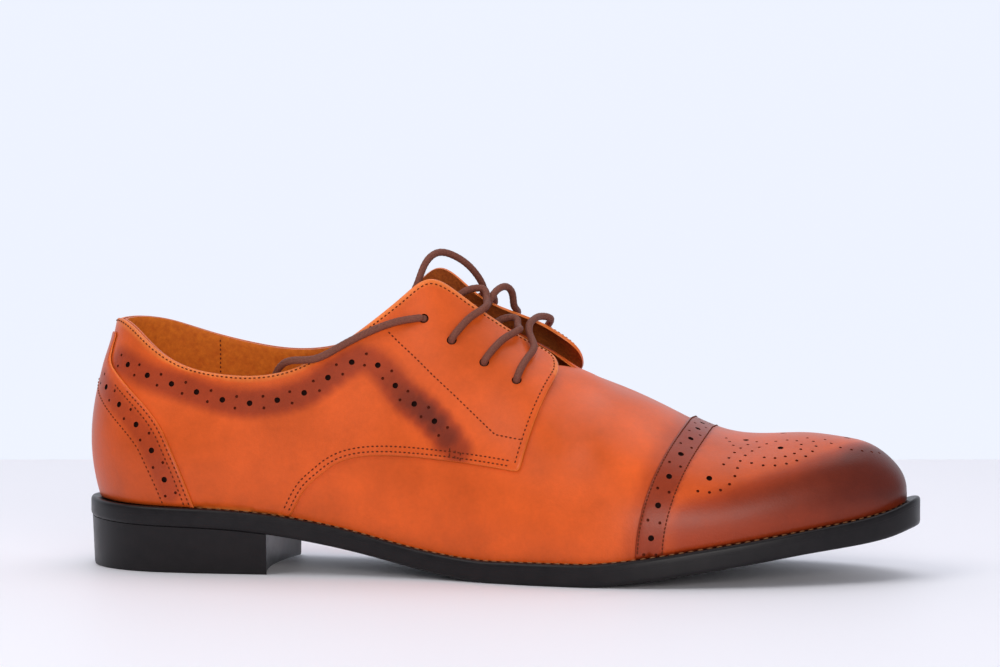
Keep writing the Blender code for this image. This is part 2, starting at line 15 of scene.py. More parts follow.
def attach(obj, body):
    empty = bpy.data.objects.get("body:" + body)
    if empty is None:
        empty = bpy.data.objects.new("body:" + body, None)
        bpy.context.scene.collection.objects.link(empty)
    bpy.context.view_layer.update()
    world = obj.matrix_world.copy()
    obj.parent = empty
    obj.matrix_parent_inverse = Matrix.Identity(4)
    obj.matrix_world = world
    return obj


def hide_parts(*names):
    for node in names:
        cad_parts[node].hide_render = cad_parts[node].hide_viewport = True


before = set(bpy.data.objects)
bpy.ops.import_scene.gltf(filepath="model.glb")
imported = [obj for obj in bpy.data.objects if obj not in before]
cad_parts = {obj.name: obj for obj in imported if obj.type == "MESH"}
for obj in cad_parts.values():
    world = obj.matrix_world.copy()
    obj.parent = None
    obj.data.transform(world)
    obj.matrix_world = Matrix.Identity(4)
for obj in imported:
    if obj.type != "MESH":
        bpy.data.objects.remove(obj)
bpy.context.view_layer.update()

MM = 0.001
SIDES = LATERAL, MEDIAL = -1, 1
SIDE_NAME = {LATERAL: "lateral", MEDIAL: "medial"}


def table(columns, rows):
    """A short table, read by the names of its columns."""
    values = np.array(rows, float)
    return {name: values[:, k] for k, name in enumerate(columns.split())}


def on(where, *knots):
    """Knots of a lace's way that lie on one side, or in the open."""
    return [(where, *knot) for knot in knots]


# Camera, in millimetres and degrees, on the last's own axes
CAMERA_AZIMUTH, CAMERA_ELEVATION = 8.5, 3.6
CAMERA_DISTANCE = 1450.0
CAMERA_AIM = (150.8, 0.0, 85.0)
CAMERA_LENS, CAMERA_SENSOR = 144.8, 36.0

# Main sizes, as in the solids
LENGTH = 302.0
WALL = 1.5
QUARTER_THICK = 1.2
CAP_THICK = 1.0
COUNTER_THICK = 1.0
TONGUE_THICK = 2.0
GAP = 0.3
SEAT_GAP = 0.02  # between sole, welt and heel, which look like one
WELT_THICK = 2.4
WELT_UNDER = 3.0
INSOLE_THICK = 3.0
INSOLE_CLEAR = 0.6
BREAST = 71.5
BREAST_HOLLOW = 4.0
HEEL_INSET = 0.5
HEEL_TAPER = 1.2
HEEL_ROUND = 0.8
HEEL_EDGE = [(1, 0), (0.3, 0.25), (0, 1)]  # its lower edge: inwards and upwards, as parts of that
THROAT = 178.0
COLLAR_END = 112.0
FACING_BACK = 0.11
COLLAR_EASE, THROAT_EASE = 12.0, 20.0
RIM_ROLL, RIM_START = 0.35, 0.985  # how far the wall's top edge is rounded, and from which part of its rise
LACE_RADIUS = 1.3
LACE_BLUNT = 0.75  # how far the lace's ends are rounded off

# Rounded edges of sole and welt: distance inside the edge, and height over it
SOLE_ROUND = [(0.0, 1.6), (0.12, 0.8), (0.45, 0.28), (0.9, 0.06), (1.5, 0.0)]
WELT_ROUND = [
    (3.0, 0.0), (1.9, 0.25), (1.1, 0.3), (0.5, 0.05), (0.12, -0.45), (0.0, -1.1),
    (0.0, -WELT_THICK)]

# How finely the pieces are cut
RING_STEPS = 160
WALL_ROWS = 56
HEEL_STEPS = 60
TONGUE_STEPS, TONGUE_ROWS = 60, 30
PANEL_STEP = 1.5
EDGE_STEP = 1.0
WAY_STEP = 0.5  # along laces and punched rows
LACE_SIDES = 16
QUARTER_STEPS = {"lower": 260, "front": 60, "corner": 40, "top": 240, "back": 60}
CAP_STEPS = {"rear": 240, "lower": 200, "tip": 90}
COUNTER_STEPS, COUNTER_ENDS = 200, 120
GRID_ROW, GRID_CLEAR = 0.87, 0.7  # a grid's row height and distance from other points, in its steps
BACKING_STEPS = 3  # how much coarser a panel's back is
HOLE_STEPS = 20  # places from a large hole to the next pair of small ones
WELD = 2e-6  # metres within which points become one

# Outline of the outsole, from the line that joins the back of the heel and the tip of the toe
OUTLINE = table("station lateral medial", [
    (0, 0, 0), (10, 22, 22), (20, 29, 29), (35, 33, 33), (55, 34, 33.5), (80, 34, 31),
    (110, 35.5, 27), (130, 39, 29), (150, 45, 36), (170, 50.5, 43.5), (190, 53.5, 48.5),
    (210, 53.5, 50), (230, 50, 48.5), (250, 43.5, 44), (270, 34, 36.5), (285, 24.5, 27.5),
    (295, 15.5, 17.5), (302, 0, 0)])

# Height of the sole's underside, and thickness of its edge with the welt
SOLE = table("station underside edge", [
    (0, 18.4, 6.6), (35, 16.6, 6.7), (71, 14.5, 6.9), (85, 12.4, 7), (102, 9.2, 6.9),
    (120, 5.1, 6.7), (139, 1.4, 7.1), (152, 0, 7.4), (170, -0.6, 7.6), (190, 0.1, 7.7),
    (212, 2.7, 7.8), (229, 5.4, 7.8), (246, 8.1, 7.8), (263, 10.9, 7.9), (280, 13.2, 8.5),
    (293, 15.6, 9.3), (299, 17.6, 9.8), (302, 18.3, 9.9)])

# Lower edge of the wall inside the sole's edge, its swell above that edge, and the shoulder below its top
WALL_FORM = table("station inset swell rise shoulder drop", [
    (0, 6.3, 8.2, 0.42, 4.2, 0.34), (35, 6, 6.6, 0.42, 2.8, 0.34), (60, 5, 4, 0.42, 3, 0.34),
    (85, 4.4, 2.5, 0.42, 5, 0.32), (110, 3.7, 2, 0.42, 8, 0.28), (130, 3.6, 2.5, 0.44, 11, 0.2),
    (150, 3.6, 3.5, 0.46, 16, 0.12), (170, 3.6, 4.5, 0.48, 24, 0.04), (185, 3.6, 4.5, 0.5, 29, 0),
    (205, 3.8, 4.5, 0.54, 31, 0), (225, 4.6, 4.5, 0.58, 31, 0), (250, 4.8, 4.5, 0.62, 27, 0),
    (275, 4.8, 4, 0.62, 20, 0), (292, 5.2, 3, 0.62, 11, 0), (302, 6.2, 2, 0.62, 0, 0)])

# Top of the wall: collar, then the facings' edges beside the throat, then the ridge of vamp and toe
TOP = table("station forward middle lateral medial lateral_height medial_height", [
    (0, 4.8, 0, 0, 0, 88.9, 88.9), (10, 4.5, 0, 13.5, 13.5, 87.2, 89.2), (20, 3.9, 0, 19, 19, 81.4, 87.4),
    (35, 2.7, 0, 23, 23, 74.4, 83.4), (55, 1, 0, 25.5, 25, 70.8, 79),
    (80, 0, 0.5, 25, 22.5, 73.2, 77.5), (95, 0, 1, 23, 20.5, 81, 81.5),
    (110, 0, 1.5, 18.5, 17.5, 92.4, 93), (118, 0, 2, 15.5, 15, 99.4, 102.2),
    (125, 0, 2, 13, 13, 104.4, 107.4), (136, 0, 2, 12, 12, 99.6, 100.2),
    (148, 0, 2, 10.5, 10.5, 89.9, 92), (160, 0, 2, 9, 8.5, 80.6, 84.8),
    (170, 0, 2, 5.5, 5, 75.2, 77.6), (178, 0, 2, 0, 0, 72.9, 72.9), (190, 0, 2, 0, 0, 67.8, 67.8),
    (205, 0, 2, 0, 0, 61.8, 61.8), (220, 0, 2, 0, 0, 54.6, 54.6), (232, 0, 1.8, 0, 0, 50, 50),
    (245, 0, 1.6, 0, 0, 48.5, 48.5), (262, 0, 1.2, 0, 0, 49.1, 49.1), (275, 0, 0.8, 0, 0, 48, 48),
    (285, 0, 0.5, 0, 0, 46.2, 46.2), (295, 0, 0.2, 0, 0, 40.6, 40.6), (302, 0, 0, 0, 0, 29.6, 29.6)])
ROUND_BACK, ROUND_SPAN = 25, 55

# Quarters: their lower edge as height over the floor, and the flap at their front
QUARTER_EDGE = table("station height", [
    (79.5, 20.5), (82.5, 26.6), (85, 30.7), (89, 34.6), (94, 38.7), (100, 41.6), (108, 43), (120, 43.1),
    (132, 42.4), (148, 40.9), (163, 39)])
QUARTER_BACK = 0.0006  # station of the back seam
FLAP_FRONT = 163
FLAP_SLANT = {LATERAL: 9.5, MEDIAL: 12.5}
FLAP_CORNER = {LATERAL: 10, MEDIAL: 12}
FLAP_CUT = {LATERAL: 0.2, MEDIAL: 0.22}
FLAP_LIFT = {LATERAL: 2.6, MEDIAL: 5.2}
LIFT_START, LIFT_SPAN = 138, 36
LIFT_RISE = 0.45
CORNER_ROUNDS, EDGE_ROUNDS = 6, 3  # how often the flap's upper front corner and a panel's corners are eased
CORNER_BACK, CORNER_LOW = 4, 0.72  # where that corner starts: distance back, and rise
SEAM_KEPT = 3  # station up to which the quarters stay sharp at the back seam

# Rear edge of the toe cap: station at the ridge and beside the sole, and how it sweeps back between them
CAP_RIDGE = 220
CAP_SIDE = {LATERAL: 206, MEDIAL: 209}
CAP_SWEEP = 1.2
CAP_TIP = 301.99  # station where the cap's two lower edges meet

# Front edge of the counter, which narrows to a strip up the back seam
COUNTER = table("rise station", [
    (0, 44.6), (0.13, 41.7), (0.26, 38.5), (0.39, 34.6), (0.49, 31), (0.57, 26.2), (0.63, 19.6),
    (0.675, 11.8), (0.72, 5.6), (0.79, 2.8), (0.92, 3.3)])

# Middle line of the tongue, its half width and the radius of its arch
TONGUE = table("station height half arch", [
    (116, 96.5, 14, 26), (126, 92.5, 14.5, 28), (140, 86, 16, 30), (154, 78.8, 17.5, 32),
    (166, 73, 18, 34), (180, 67.6, 18, 36)])
TONGUE_MIDDLE = 2
TONGUE_THIN, TONGUE_THIN_AT = 0.5, 0.9  # part by which its sides thin out, and from where
TONGUE_TIP, TONGUE_NARROW = 0.12, 0.35
TONGUE_UP = np.array([0.45, 0, 0.89])

# Soft folds of the vamp: station at the ridge, how far it leans back down the side, depth, half width, and
# the rises between which it shows
CREASES = table("station lean depth width low high", [
    (185, -10, 0.9, 5.5, 0.36, 0.92), (196, -14, -0.4, 6, 0.32, 0.95), (206, -14, 0.35, 5, 0.36, 0.95),
    (178, -16, 0.3, 5, 0.18, 0.55)])
CREASE_FADE = 0.2

# Ways of the lace. On a flap: side, station, rise and height over the leather. In the open: FREE, station,
# distance across and height over the floor.
FREE = 0
OVER = 2
ROOT = 0.7  # height of a loose end's start in its eyelet
DIVE = -1.7  # how deep a lace goes into its eyelet
SINK, ROOT_SINK = 0.4, -0.5  # heights on its way there
EYELETS = [(159.3, 0.695), (147.3, 0.705), (135.5, 0.73), (125.4, 0.8)]
EYELET_RADIUS = 1.75
FRONT_BAR = [
    *on(LATERAL, (*EYELETS[0], OVER), (160.8, 0.8, OVER), (161.8, 0.9, 2.2)),
    *on(FREE, (162.8, -9, 86), (162.4, -6, 88.6), (163.4, -1, 90.4), (164.6, 4.5, 91)),
    *on(MEDIAL, (161.4, 0.985, 2.8), (160.8, 0.9, 2.2), (160, 0.8, OVER), (*EYELETS[0], OVER))]
CROSSINGS = {
    "under_flaps": [
        *on(FREE, (135.4, -2.2, 93), (141, -1, 90.4), (148.5, -2.2, 86.4))],
    "second_lateral": [
        *on(LATERAL, (*EYELETS[1], OVER), (150, 0.79, OVER), (152.8, 0.88, 2.2), (155.3, 0.96, 3.2)),
        *on(FREE, (158.2, -6.5, 88.2), (157.2, -3, 90.6), (152.8, -2, 90.6), (149, -2.8, 88.6),
            (147, -2.2, 87))],
    "third_lateral": [
        *on(LATERAL, (*EYELETS[2], OVER), (138.3, 0.81, OVER), (141, 0.89, 2.2), (143.6, 0.965, 3.2)),
        *on(FREE, (147, -7, 97.8), (145.6, -3.6, 101), (141, -2.4, 101.2), (136.8, -3.2, 99),
            (135.2, -3, 95.4), (136.4, -2, 92.2))],
    "second_medial": [
        *on(FREE, (141, -1, 90.4), (145, -3.5, 93), (147.6, -2.5, 97.4), (149.8, 1.5, 100.8),
            (152.2, 6, 101.6), (153.8, 10.2, 98.8), (154, 13.2, 94.4)),
        *on(MEDIAL, (151, 0.93, 2.6), (149.2, 0.82, OVER), (*EYELETS[1], OVER))],
    "third_medial": [
        *on(MEDIAL, (*EYELETS[2], OVER), (139.5, 0.84, OVER), (143, 0.94, 2.4)),
        *on(FREE, (146, 12, 98), (146, 8, 96.6), (144.8, 3.5, 93.6), (143, -0.5, 90))]}
LACE_ENDS = {
    "lace_end_lateral": [
        *on(LATERAL, (*EYELETS[3], ROOT), (117, 0.862, OVER), (106.1, 0.94, OVER), (96.2, 0.972, OVER),
            (88, 0.985, 2.4)),
        *on(FREE, (79.5, -24.8, 76.2), (73.6, -20.6, 72.8), (71, -19.8, 65.5), (70, -20.6, 57.5),
            (69.6, -21.4, 50))],
    "lace_end_medial": [
        *on(MEDIAL, (*EYELETS[3], ROOT), (131.5, 0.855, OVER), (137.5, 0.925, 2.6)),
        *on(FREE, (142.4, 13.8, 101.6), (140.8, 11.6, 105.2), (137.5, 9.2, 109.4), (133.2, 6.4, 112.6),
            (128.1, 2.2, 114), (124.6, -2.4, 111.2), (122.4, -6.4, 105), (120.6, -8.4, 100.2),
            (118, -9.6, 96.4), (114.8, -10.2, 91.8), (112.2, -10.6, 86.6))]}
BRAID_DEPTH, BRAID_STRANDS, BRAID_PITCH = 0.05, 3, 3.4

# Punched rows, as station and rise along their middle line
COLLAR_ROW = [
    (7.5, 0.775), (12, 0.782), (21.6, 0.803), (31.5, 0.833), (42.4, 0.836), (52.9, 0.808), (63.3, 0.791),
    (74.3, 0.797), (85.2, 0.8), (93, 0.833), (101.4, 0.841), (109.2, 0.749), (115.5, 0.607), (123.8, 0.464),
    (131.7, 0.402), (134.8, 0.378)]
COLLAR_ROW_END = (140.5, 0.335)  # where its dark polish runs out
COUNTER_ROW = 6.4  # distance inside the counter's front edge
COUNTER_LOW, COUNTER_HIGH = 0.02, 0.64  # rises between which the counter's rows run
HOLES_LOW = 0.08  # rise at which its holes start
COUNTER_SEAM = 6  # how near to the back seam the rows come, in the counter's plane
COUNTER_KEPT = 1  # height in that plane up to which the counter's edge stays sharp
COUNTER_THIN, THIN_START, THIN_SPAN = 0.6, 0.72, 0.18  # part by which its strip thins, and where
LARGE_HOLE, SMALL_HOLE = 1.05, 0.55  # radii
LARGE_SIDES, SMALL_SIDES = 16, 10
COLLAR_HOLES, COUNTER_HOLES, CAP_PITCH = 14, 5, 11.3
PAIR_APART = 2.1  # from a row's middle to its small holes
CAP_BAND, CAP_MIDDLE = 9.3, 5  # width of the punched band at the cap's edge, and where its holes run
MEDALLION_PITCH = 4.1
MEDALLION_ROWS = [
    [(227.7, 0.33), (231.6, 0.325), (236, 0.343), (239, 0.385), (241, 0.49), (242.5, 0.6), (247, 0.7),
     (253, 0.79), (257.5, 0.805)],
    [(236, 0.535), (239, 0.645), (244, 0.765), (246.5, 0.8)],
    [(235, 0.83), (238.3, 0.74)],
    [(246, 0.545), (250, 0.515), (258, 0.508), (265, 0.58), (268, 0.73), (264.5, 0.845)],
    [(250.3, 0.592), (254, 0.575), (258, 0.585), (261.4, 0.62), (263.2, 0.68), (261, 0.786)],
    [(270.8, 0.843), (276.7, 0.722), (280.5, 0.706), (287.7, 0.76), (290.4, 0.83)]]
MEDALLION_LARGE = [(231.4, 0.42), (242.4, 0.83), (255.7, 0.69)]
MEDALLION_MIDDLE = [254.8, 278.3]  # stations of the large holes on the ridge
HOLE_DEPTH = 0.85
PLAIN, POLISH_AND_SHADE = 0.12, 0.22  # burnish of plain leather, and a darker base for the cap, as polish, and for the counter, as painted shade

# Dark polish along the collar's row, and on the toe below a line that climbs to the tip: full up to one rise,
# and gone at the other
ROW_BURNISH = table("station depth", [
    (0, 0.5), (30, 0.55), (100, 0.64), (109, 0.52), (116, 0.62), (123, 0.86), (131, 0.95), (137, 0.85),
    (141, 0.55)])
ROW_SPREAD, RIM_SPREAD = (2, 7), (1.3, 1.6)  # width of the row's polish and of the lighter rim, and their fade
CAP_BURNISH, CAP_RIM = (0.66, CAP_BAND - 1, 3), 0.8  # depth, width and fade at the cap's edge, and on its rim
COUNTER_BURNISH = (0.45, 2, 5.5)
CAP_SHADE, CAP_SHADE_START, CAP_SHADE_FADE = 0.3, 1, 9  # painted shade on the vamp just behind the cap's edge
TIP_SHADE, TIP_START, TIP_FADE = 0.9, 285, 8  # and the vamp made dark under the cap's tip
# Painted shade in the throat: the upper made dark between the flaps, where the throat lies in shadow
THROAT_SHADE = {"back": 112, "front": 171, "fade": 6, "rise": 0.74, "rise_fade": 0.06}
TOE_LIGHT, TOE_LIGHT_RISE = 0.2, 0.22  # part by which the toe is lighter beside the welt, and how far up
TOE_BURNISH = table("station full clear depth", [
    (206, 0.08, 0.26, 0), (214, 0.09, 0.3, 0.35), (222, 0.14, 0.4, 0.6), (243, 0.22, 0.56, 0.75),
    (259, 0.29, 0.65, 0.84), (266, 0.36, 0.75, 0.88), (273, 0.45, 0.88, 0.92), (280, 0.62, 1.1, 0.97),
    (287, 0.84, 1.45, 1), (292, 1.02, 1.6, 1), (302, 1.02, 1.6, 1)])

# Seams: distances of stitch rows inside the edges, and the stitches themselves
STITCH_PITCH, STITCH_SHARE, STITCH_RADIUS = 1.7, 0.6, 0.27
CAP_STITCH_PITCH, CAP_STITCH_SHARE = 1.4, 0.85
LOWER_ROWS = (1.3, 3.2)
CAP_ROWS = (0.7, CAP_BAND)
COUNTER_ROWS = (1, 2.9, 11)
TOPLINE_ROW = table("station inset", [(90, 0.9), (118, 1.9)])
FACING_SEAM = [(112.8, 0.872), (121.2, 0.681), (129.2, 0.57), (137.2, 0.521), (145.4, 0.477), (153.8, 0.433)]
FACING_TACK = [(153.8, 0.433), (163.6, 0.446)]
LOWER_TACK = [(137.5, 0.3, 0.335), (139.5, 0.298, 0.333), (141.5, 0.297, 0.332)]  # station and two rises
STITCH_UP = 0.05  # height of a stitch's middle over the leather
STITCH_SIDES = 6
STITCH_FORM = [(-0.72, 0.75), (0, 1), (0.72, 0.75)]  # place along a stitch, and part of its full radius
LINING_SEAM, LINING_RISES, LINING_STEPS = 40, (0.1, 0.98), 60
WELT_PITCH, WELT_SHARE, WELT_STITCH = 3.4, 0.6, 0.32
WELT_SEAM, WELT_STEPS = (0.02, 0.985), 1200  # parts of the half turn between which the welt's thread runs
WELT_SEAM_OUT, WELT_SEAM_UP = 0.9, 0.2

# A panel's plane: about a millimetre a step, round the half turn and up the rise
AROUND, UP = 400.0, 70.0
EDGE_ROUND = [(0.0, 0.45), (0.35, 0.12), (0.85, 0.0)]  # distance inside the edge, and how far it drops there


# The last
def turn(station):
    """Station as a part of a half turn, so that equal steps crowd together at heel and toe."""
    return np.arccos(np.clip(1 - 2 * np.asarray(station, float) / LENGTH, -1, 1)) / np.pi


def station_at(u):
    return LENGTH * (1 - np.cos(np.pi * np.asarray(u, float))) / 2


def smooth(x):
    x = np.clip(x, 0, 1)
    return x * x * (3 - 2 * x)


def unit(vectors):
    return vectors / np.linalg.norm(vectors, axis=-1, keepdims=True)


def raised(plan, height):
    """Points of a plan at the given heights."""
    return np.concatenate([plan, height[..., None]], -1)


def natural_spline(knots, values):
    """The natural cubic spline through the knots, as a function."""
    count, step = len(knots), np.diff(knots)
    system, right = np.eye(count), np.zeros(count)
    for i in range(1, count - 1):
        system[i, i - 1:i + 2] = step[i - 1], 2 * (step[i - 1] + step[i]), step[i]
        right[i] = 6 * ((values[i + 1] - values[i]) / step[i] - (values[i] - values[i - 1]) / step[i - 1])
    bend = np.linalg.solve(system, right)

    def at(x):
        k = np.clip(np.searchsorted(knots, x) - 1, 0, count - 2)
        d = x - knots[k]
        slope = (values[k + 1] - values[k]) / step[k] - step[k] * (2 * bend[k] + bend[k + 1]) / 6
        return values[k] + d * (slope + d * (bend[k] / 2 + d * (bend[k + 1] - bend[k]) / (6 * step[k])))

    return at


def curve(rows, name, place, key="station"):
    """A table's column at the given places, on a smooth curve."""
    return natural_spline(rows[key], rows[name])(place)


def between(rows, name, station):
    """A table's column at the given stations, straight from row to row."""
    return np.interp(station, rows["station"], rows[name])


def columns_of(rows):
    """Each column of a table of stations as a smooth function of the half turn."""
    knots = turn(rows["station"])
    return {name: natural_spline(knots, values) for name, values in rows.items() if name != "station"}


outline_of = columns_of(OUTLINE)
sole_of = columns_of(SOLE)
form_of = columns_of(WALL_FORM)
top_of = columns_of(TOP)
SOLID_STEPS = np.linspace(0, 1, 41)  # the solids' own columns, which set the middle of their box
AXIS_SHIFT = (outline_of["lateral"](SOLID_STEPS).max() - outline_of["medial"](SOLID_STEPS).max()) / 2
U = np.linspace(0, 1, RING_STEPS + 1)
FEATHER = form_of["inset"](U)
WELT_INNER = FEATHER + WELT_UNDER


def underside(u):
    return np.maximum(sole_of["underside"](u), 0.0)


def ledge(u):
    """Height of the welt's top face."""
    return underside(u) + sole_of["edge"](u)


def outline(u, side, inset):
    """Plan of the sole's edge, moved inwards by inset, and the direction outwards there."""
    def edge(v):
        return np.stack([station_at(v), side * outline_of[SIDE_NAME[side]](v)], -1)

    along = edge(u + 1e-4) - edge(u - 1e-4)
    outward = unit(np.stack([-along[..., 1], along[..., 0]], -1) * side)
    return edge(u) - np.asarray(inset)[..., None] * outward, outward


def wall_controls(u, side):
    """The four points that shape the wall's profile at u: lower edge, swell, shoulder and top."""
    name = SIDE_NAME[side]
    foot, outward = outline(u, side, form_of["inset"](u))
    straight = smooth((station_at(u) - ROUND_BACK) / ROUND_SPAN)[..., None]
    across = np.stack([np.zeros_like(u), np.full_like(u, side)], -1)
    outward = outward * (1 - straight) + across * straight
    low = ledge(turn(foot[..., 0])) + GAP
    high = top_of[name + "_height"](u)
    height = high - low
    top = np.stack([foot[..., 0] + top_of["forward"](u), top_of["middle"](u) + side * top_of[name](u)], -1)
    swell = foot + outward * form_of["swell"](u)[..., None]
    shoulder = top + outward * form_of["shoulder"](u)[..., None]
    plan = (foot, swell, shoulder, top)
    level = (low, low + form_of["rise"](u) * height, high - form_of["drop"](u) * height, high)
    return [raised(p, z) for p, z in zip(plan, level)]


def wall_point(u, rise, side):
    a, b, c, d = wall_controls(u, side)
    t = np.asarray(rise, float)[..., None]
    return a * (1 - t) ** 3 + 3 * b * (1 - t) ** 2 * t + 3 * c * (1 - t) * t ** 2 + d * t ** 3


def wall_normal(u, rise, side):
    u = np.clip(u, 0.0, 0.994)  # short of the tip, where the two sides meet in a point
    a, b, c, d = wall_controls(u, side)
    t = np.asarray(rise, float)[..., None]
    up = (b - a) * (1 - t) ** 2 + 2 * (c - b) * (1 - t) * t + (d - c) * t ** 2
    along = wall_point(u + 1e-3, rise, side) - wall_point(u - 1e-3, rise, side)
    return unit(np.cross(along, up) * -side)


def skin(u, rise, side, offset):
    """Point of the last's surface, pushed out from the upper's wall by offset, and clear of the welt."""
    u, rise = np.broadcast_arrays(np.asarray(u, float), np.asarray(rise, float))
    point = wall_point(u, rise, side) + wall_normal(u, rise, side) * np.asarray(offset)[..., None]
    point[..., 2] = np.maximum(point[..., 2], ledge(turn(point[..., 0])) + GAP)
    return point


def rise_at(u, height, side):
    """How far up the wall's profile it reaches the given height over the floor."""
    steps = np.linspace(0, 1, 201)
    found = []
    for v, z in zip(u, height):
        profile = wall_point(np.full_like(steps, v), steps, side)
        found.append(np.interp(z, profile[:, 2], steps))
    return np.array(found)


def flap_lift(station, rise, side):
    """How far the untied flap stands away from the vamp."""
    forward = smooth((station - LIFT_START) / LIFT_SPAN)
    return FLAP_LIFT[side] * forward * smooth((rise - LIFT_RISE) / (1 - LIFT_RISE))


def crease(station, rise):
    """How far the vamp's soft folds push its leather in or out."""
    push = np.zeros(np.broadcast(station, rise).shape)
    for ridge, lean, depth, width, low, high in zip(*CREASES.values()):
        away = (station - ridge - lean * (1 - rise)) / width
        shown = smooth((rise - low) / CREASE_FADE) * smooth((high - rise) / CREASE_FADE)
        push -= depth * shown * np.exp(-away ** 2)
    return push


def to_frame(points):
    """Stations and distances in millimetres to metres in the part's frame."""
    return (np.asarray(points, float) + (-LENGTH / 2, AXIS_SHIFT, 0)) * MM


def lengths(points):
    """Distance along a run of points, from its start."""
    return np.concatenate([[0], np.cumsum(np.linalg.norm(np.diff(points, axis=0), axis=1))])


def smooth_way(knots):
    """Points at equal steps along a smooth curve through the knots."""
    knots = np.asarray(knots, float)
    along = lengths(knots)
    even = np.linspace(0, along[-1], max(3, round(along[-1] / WAY_STEP) + 1))
    return np.stack([natural_spline(along, column)(even) for column in knots.T], -1)


# Panels of leather, each laid out flat in a plane of its own
def at(station, rise):
    """Place in a quarter's plane."""
    return np.stack(np.broadcast_arrays(turn(station) * AROUND, np.asarray(rise, float) * UP), -1)


def quarter_place(side):
    def place(xy, offset):
        u, rise = xy[..., 0] / AROUND, xy[..., 1] / UP
        return skin(u, rise, side, GAP + flap_lift(station_at(u), rise, side) + offset)

    return place


def two_sided(u, rise, across, offset):
    lateral, medial = (skin(u, rise, side, offset) for side in SIDES)
    return np.where((across < 0)[..., None], lateral, medial)


def cap_at(station, rise, side):
    """Place in the toe cap's plane, which is folded over the ridge."""
    across = side * (1 - np.asarray(rise, float))
    return np.stack(np.broadcast_arrays(turn(station) * AROUND, across * UP), -1)


def cap_place(xy, offset):
    return two_sided(xy[..., 0] / AROUND, 1 - np.abs(xy[..., 1]) / UP, xy[..., 1], GAP + offset)


def counter_at(station, rise, side):
    """Place in the counter's plane, which is folded round the back seam."""
    return at(station, rise) * (side, 1)


def counter_place(xy, offset):
    rise = xy[..., 1] / UP
    thin = 1 - COUNTER_THIN * smooth((rise - THIN_START) / THIN_SPAN)
    height = 2 * GAP + QUARTER_THICK + offset * thin
    return two_sided(np.abs(xy[..., 0]) / AROUND, rise, xy[..., 0], height)


def slopes(place, xy):
    """How the leather runs for a step along each axis of its plane."""
    step = 0.05
    here = place(xy, 0.0)
    return (place(xy + (step, 0), 0.0) - here) / step, (place(xy + (0, step), 0.0) - here) / step


def dot(a, b):
    return (a * b).sum(-1, keepdims=True)


def beside(place, way, distance):
    """The way shifted to its left on the leather, in millimetres."""
    along = np.gradient(way, axis=0)
    left = np.stack([-along[:, 1], along[:, 0]], -1)
    dx, dy = slopes(place, way)
    ahead = dx * along[:, :1] + dy * along[:, 1:]
    aside = dx * left[:, :1] + dy * left[:, 1:]
    lean = dot(aside, ahead) / dot(ahead, ahead)
    square = np.linalg.norm(aside - lean * ahead, axis=-1, keepdims=True)
    return way + distance / square * (left - lean * along)


def circle(place, spot, radius, sides):
    """Places round a spot that make a round ring on the leather."""
    dx, dy = (d[0] for d in slopes(place, spot[None]))
    turns = np.arange(sides) * 2 * np.pi / sides
    length = np.linalg.norm(dx)
    lean = dy @ dx / length
    y = radius * np.sin(turns) / np.sqrt(dy @ dy - lean ** 2)
    x = (radius * np.cos(turns) - y * lean) / length
    return spot + np.stack([x, y], -1)


def parted(along, values, count):
    """Values at equal steps of a run, where along is their distance from its start."""
    even = np.linspace(0, along[-1], count + 1)
    return np.stack([np.interp(even, along, column) for column in values.T], -1)


def spaced_count(place, way, count):
    """Places along a way that part it into equal lengths on the leather."""
    return parted(lengths(place(way, 0.0)), way, count)


def spaced(place, way, pitch):
    """Places along a way, about the pitch apart on the leather."""
    return spaced_count(place, way, max(1, round(lengths(place(way, 0.0))[-1] / pitch)))


def inside(loop, points):
    """Which of the points lie within a closed loop."""
    x, y = points[:, :1], points[:, 1:]
    a, b = loop, np.roll(loop, -1, 0)
    rise = np.where(a[:, 1] == b[:, 1], 1.0, b[:, 1] - a[:, 1])
    crossed = (a[:, 1] > y) != (b[:, 1] > y)
    return (crossed & (x < a[:, 0] + (y - a[:, 1]) * (b[:, 0] - a[:, 0]) / rise)).sum(1) % 2 == 1


def grid_within(loop, step, taken):
    """Spots on a triangular grid within the loop, clear of the places that are taken."""
    low, high = loop.min(0), loop.max(0)
    rows = np.arange(low[1], high[1], step * GRID_ROW)
    columns = np.arange(low[0], high[0], step)
    x, y = np.meshgrid(columns, rows)
    x = x + step / 2 * (np.arange(len(rows))[:, None] % 2)
    spots = np.stack([x.ravel(), y.ravel()], -1)
    spots = spots[inside(loop, spots)]
    tree = KDTree(len(taken))
    for k, (px, py) in enumerate(taken):
        tree.insert((px, py, 0), k)
    tree.balance()
    return np.array([s for s in spots if tree.find((*s, 0))[2] > GRID_CLEAR * step])


def fill(loop, rings, spots):
    """Points and triangles of a flat sheet within the loop, with the rings left open.

    The points are those of the loop, of the rings and the spots, in this order.
    """
    points = np.concatenate([loop, *rings, spots])
    owner = np.full(len(points), -1)
    edges, first = [], 0
    for number, run in enumerate([loop, *rings]):
        ids = first + np.arange(len(run))
        edges += list(zip(ids.tolist(), np.roll(ids, -1).tolist()))
        owner[ids] = number
        first += len(run)
    found = delaunay_2d_cdt([Vector(p) for p in points.tolist()], edges, [], 0, 1e-6, True)
    source = np.array([ids[0] if ids else -1 for ids in found[3]])
    triangles = source[np.array(found[2])]
    triangles = triangles[(triangles >= 0).all(1)]
    whose = owner[triangles]
    in_ring = (whose[:, 0] > 0) & (whose[:, 0] == whose[:, 1]) & (whose[:, 0] == whose[:, 2])
    triangles = triangles[~in_ring]
    return points, triangles[inside(loop, points[triangles].mean(1))]


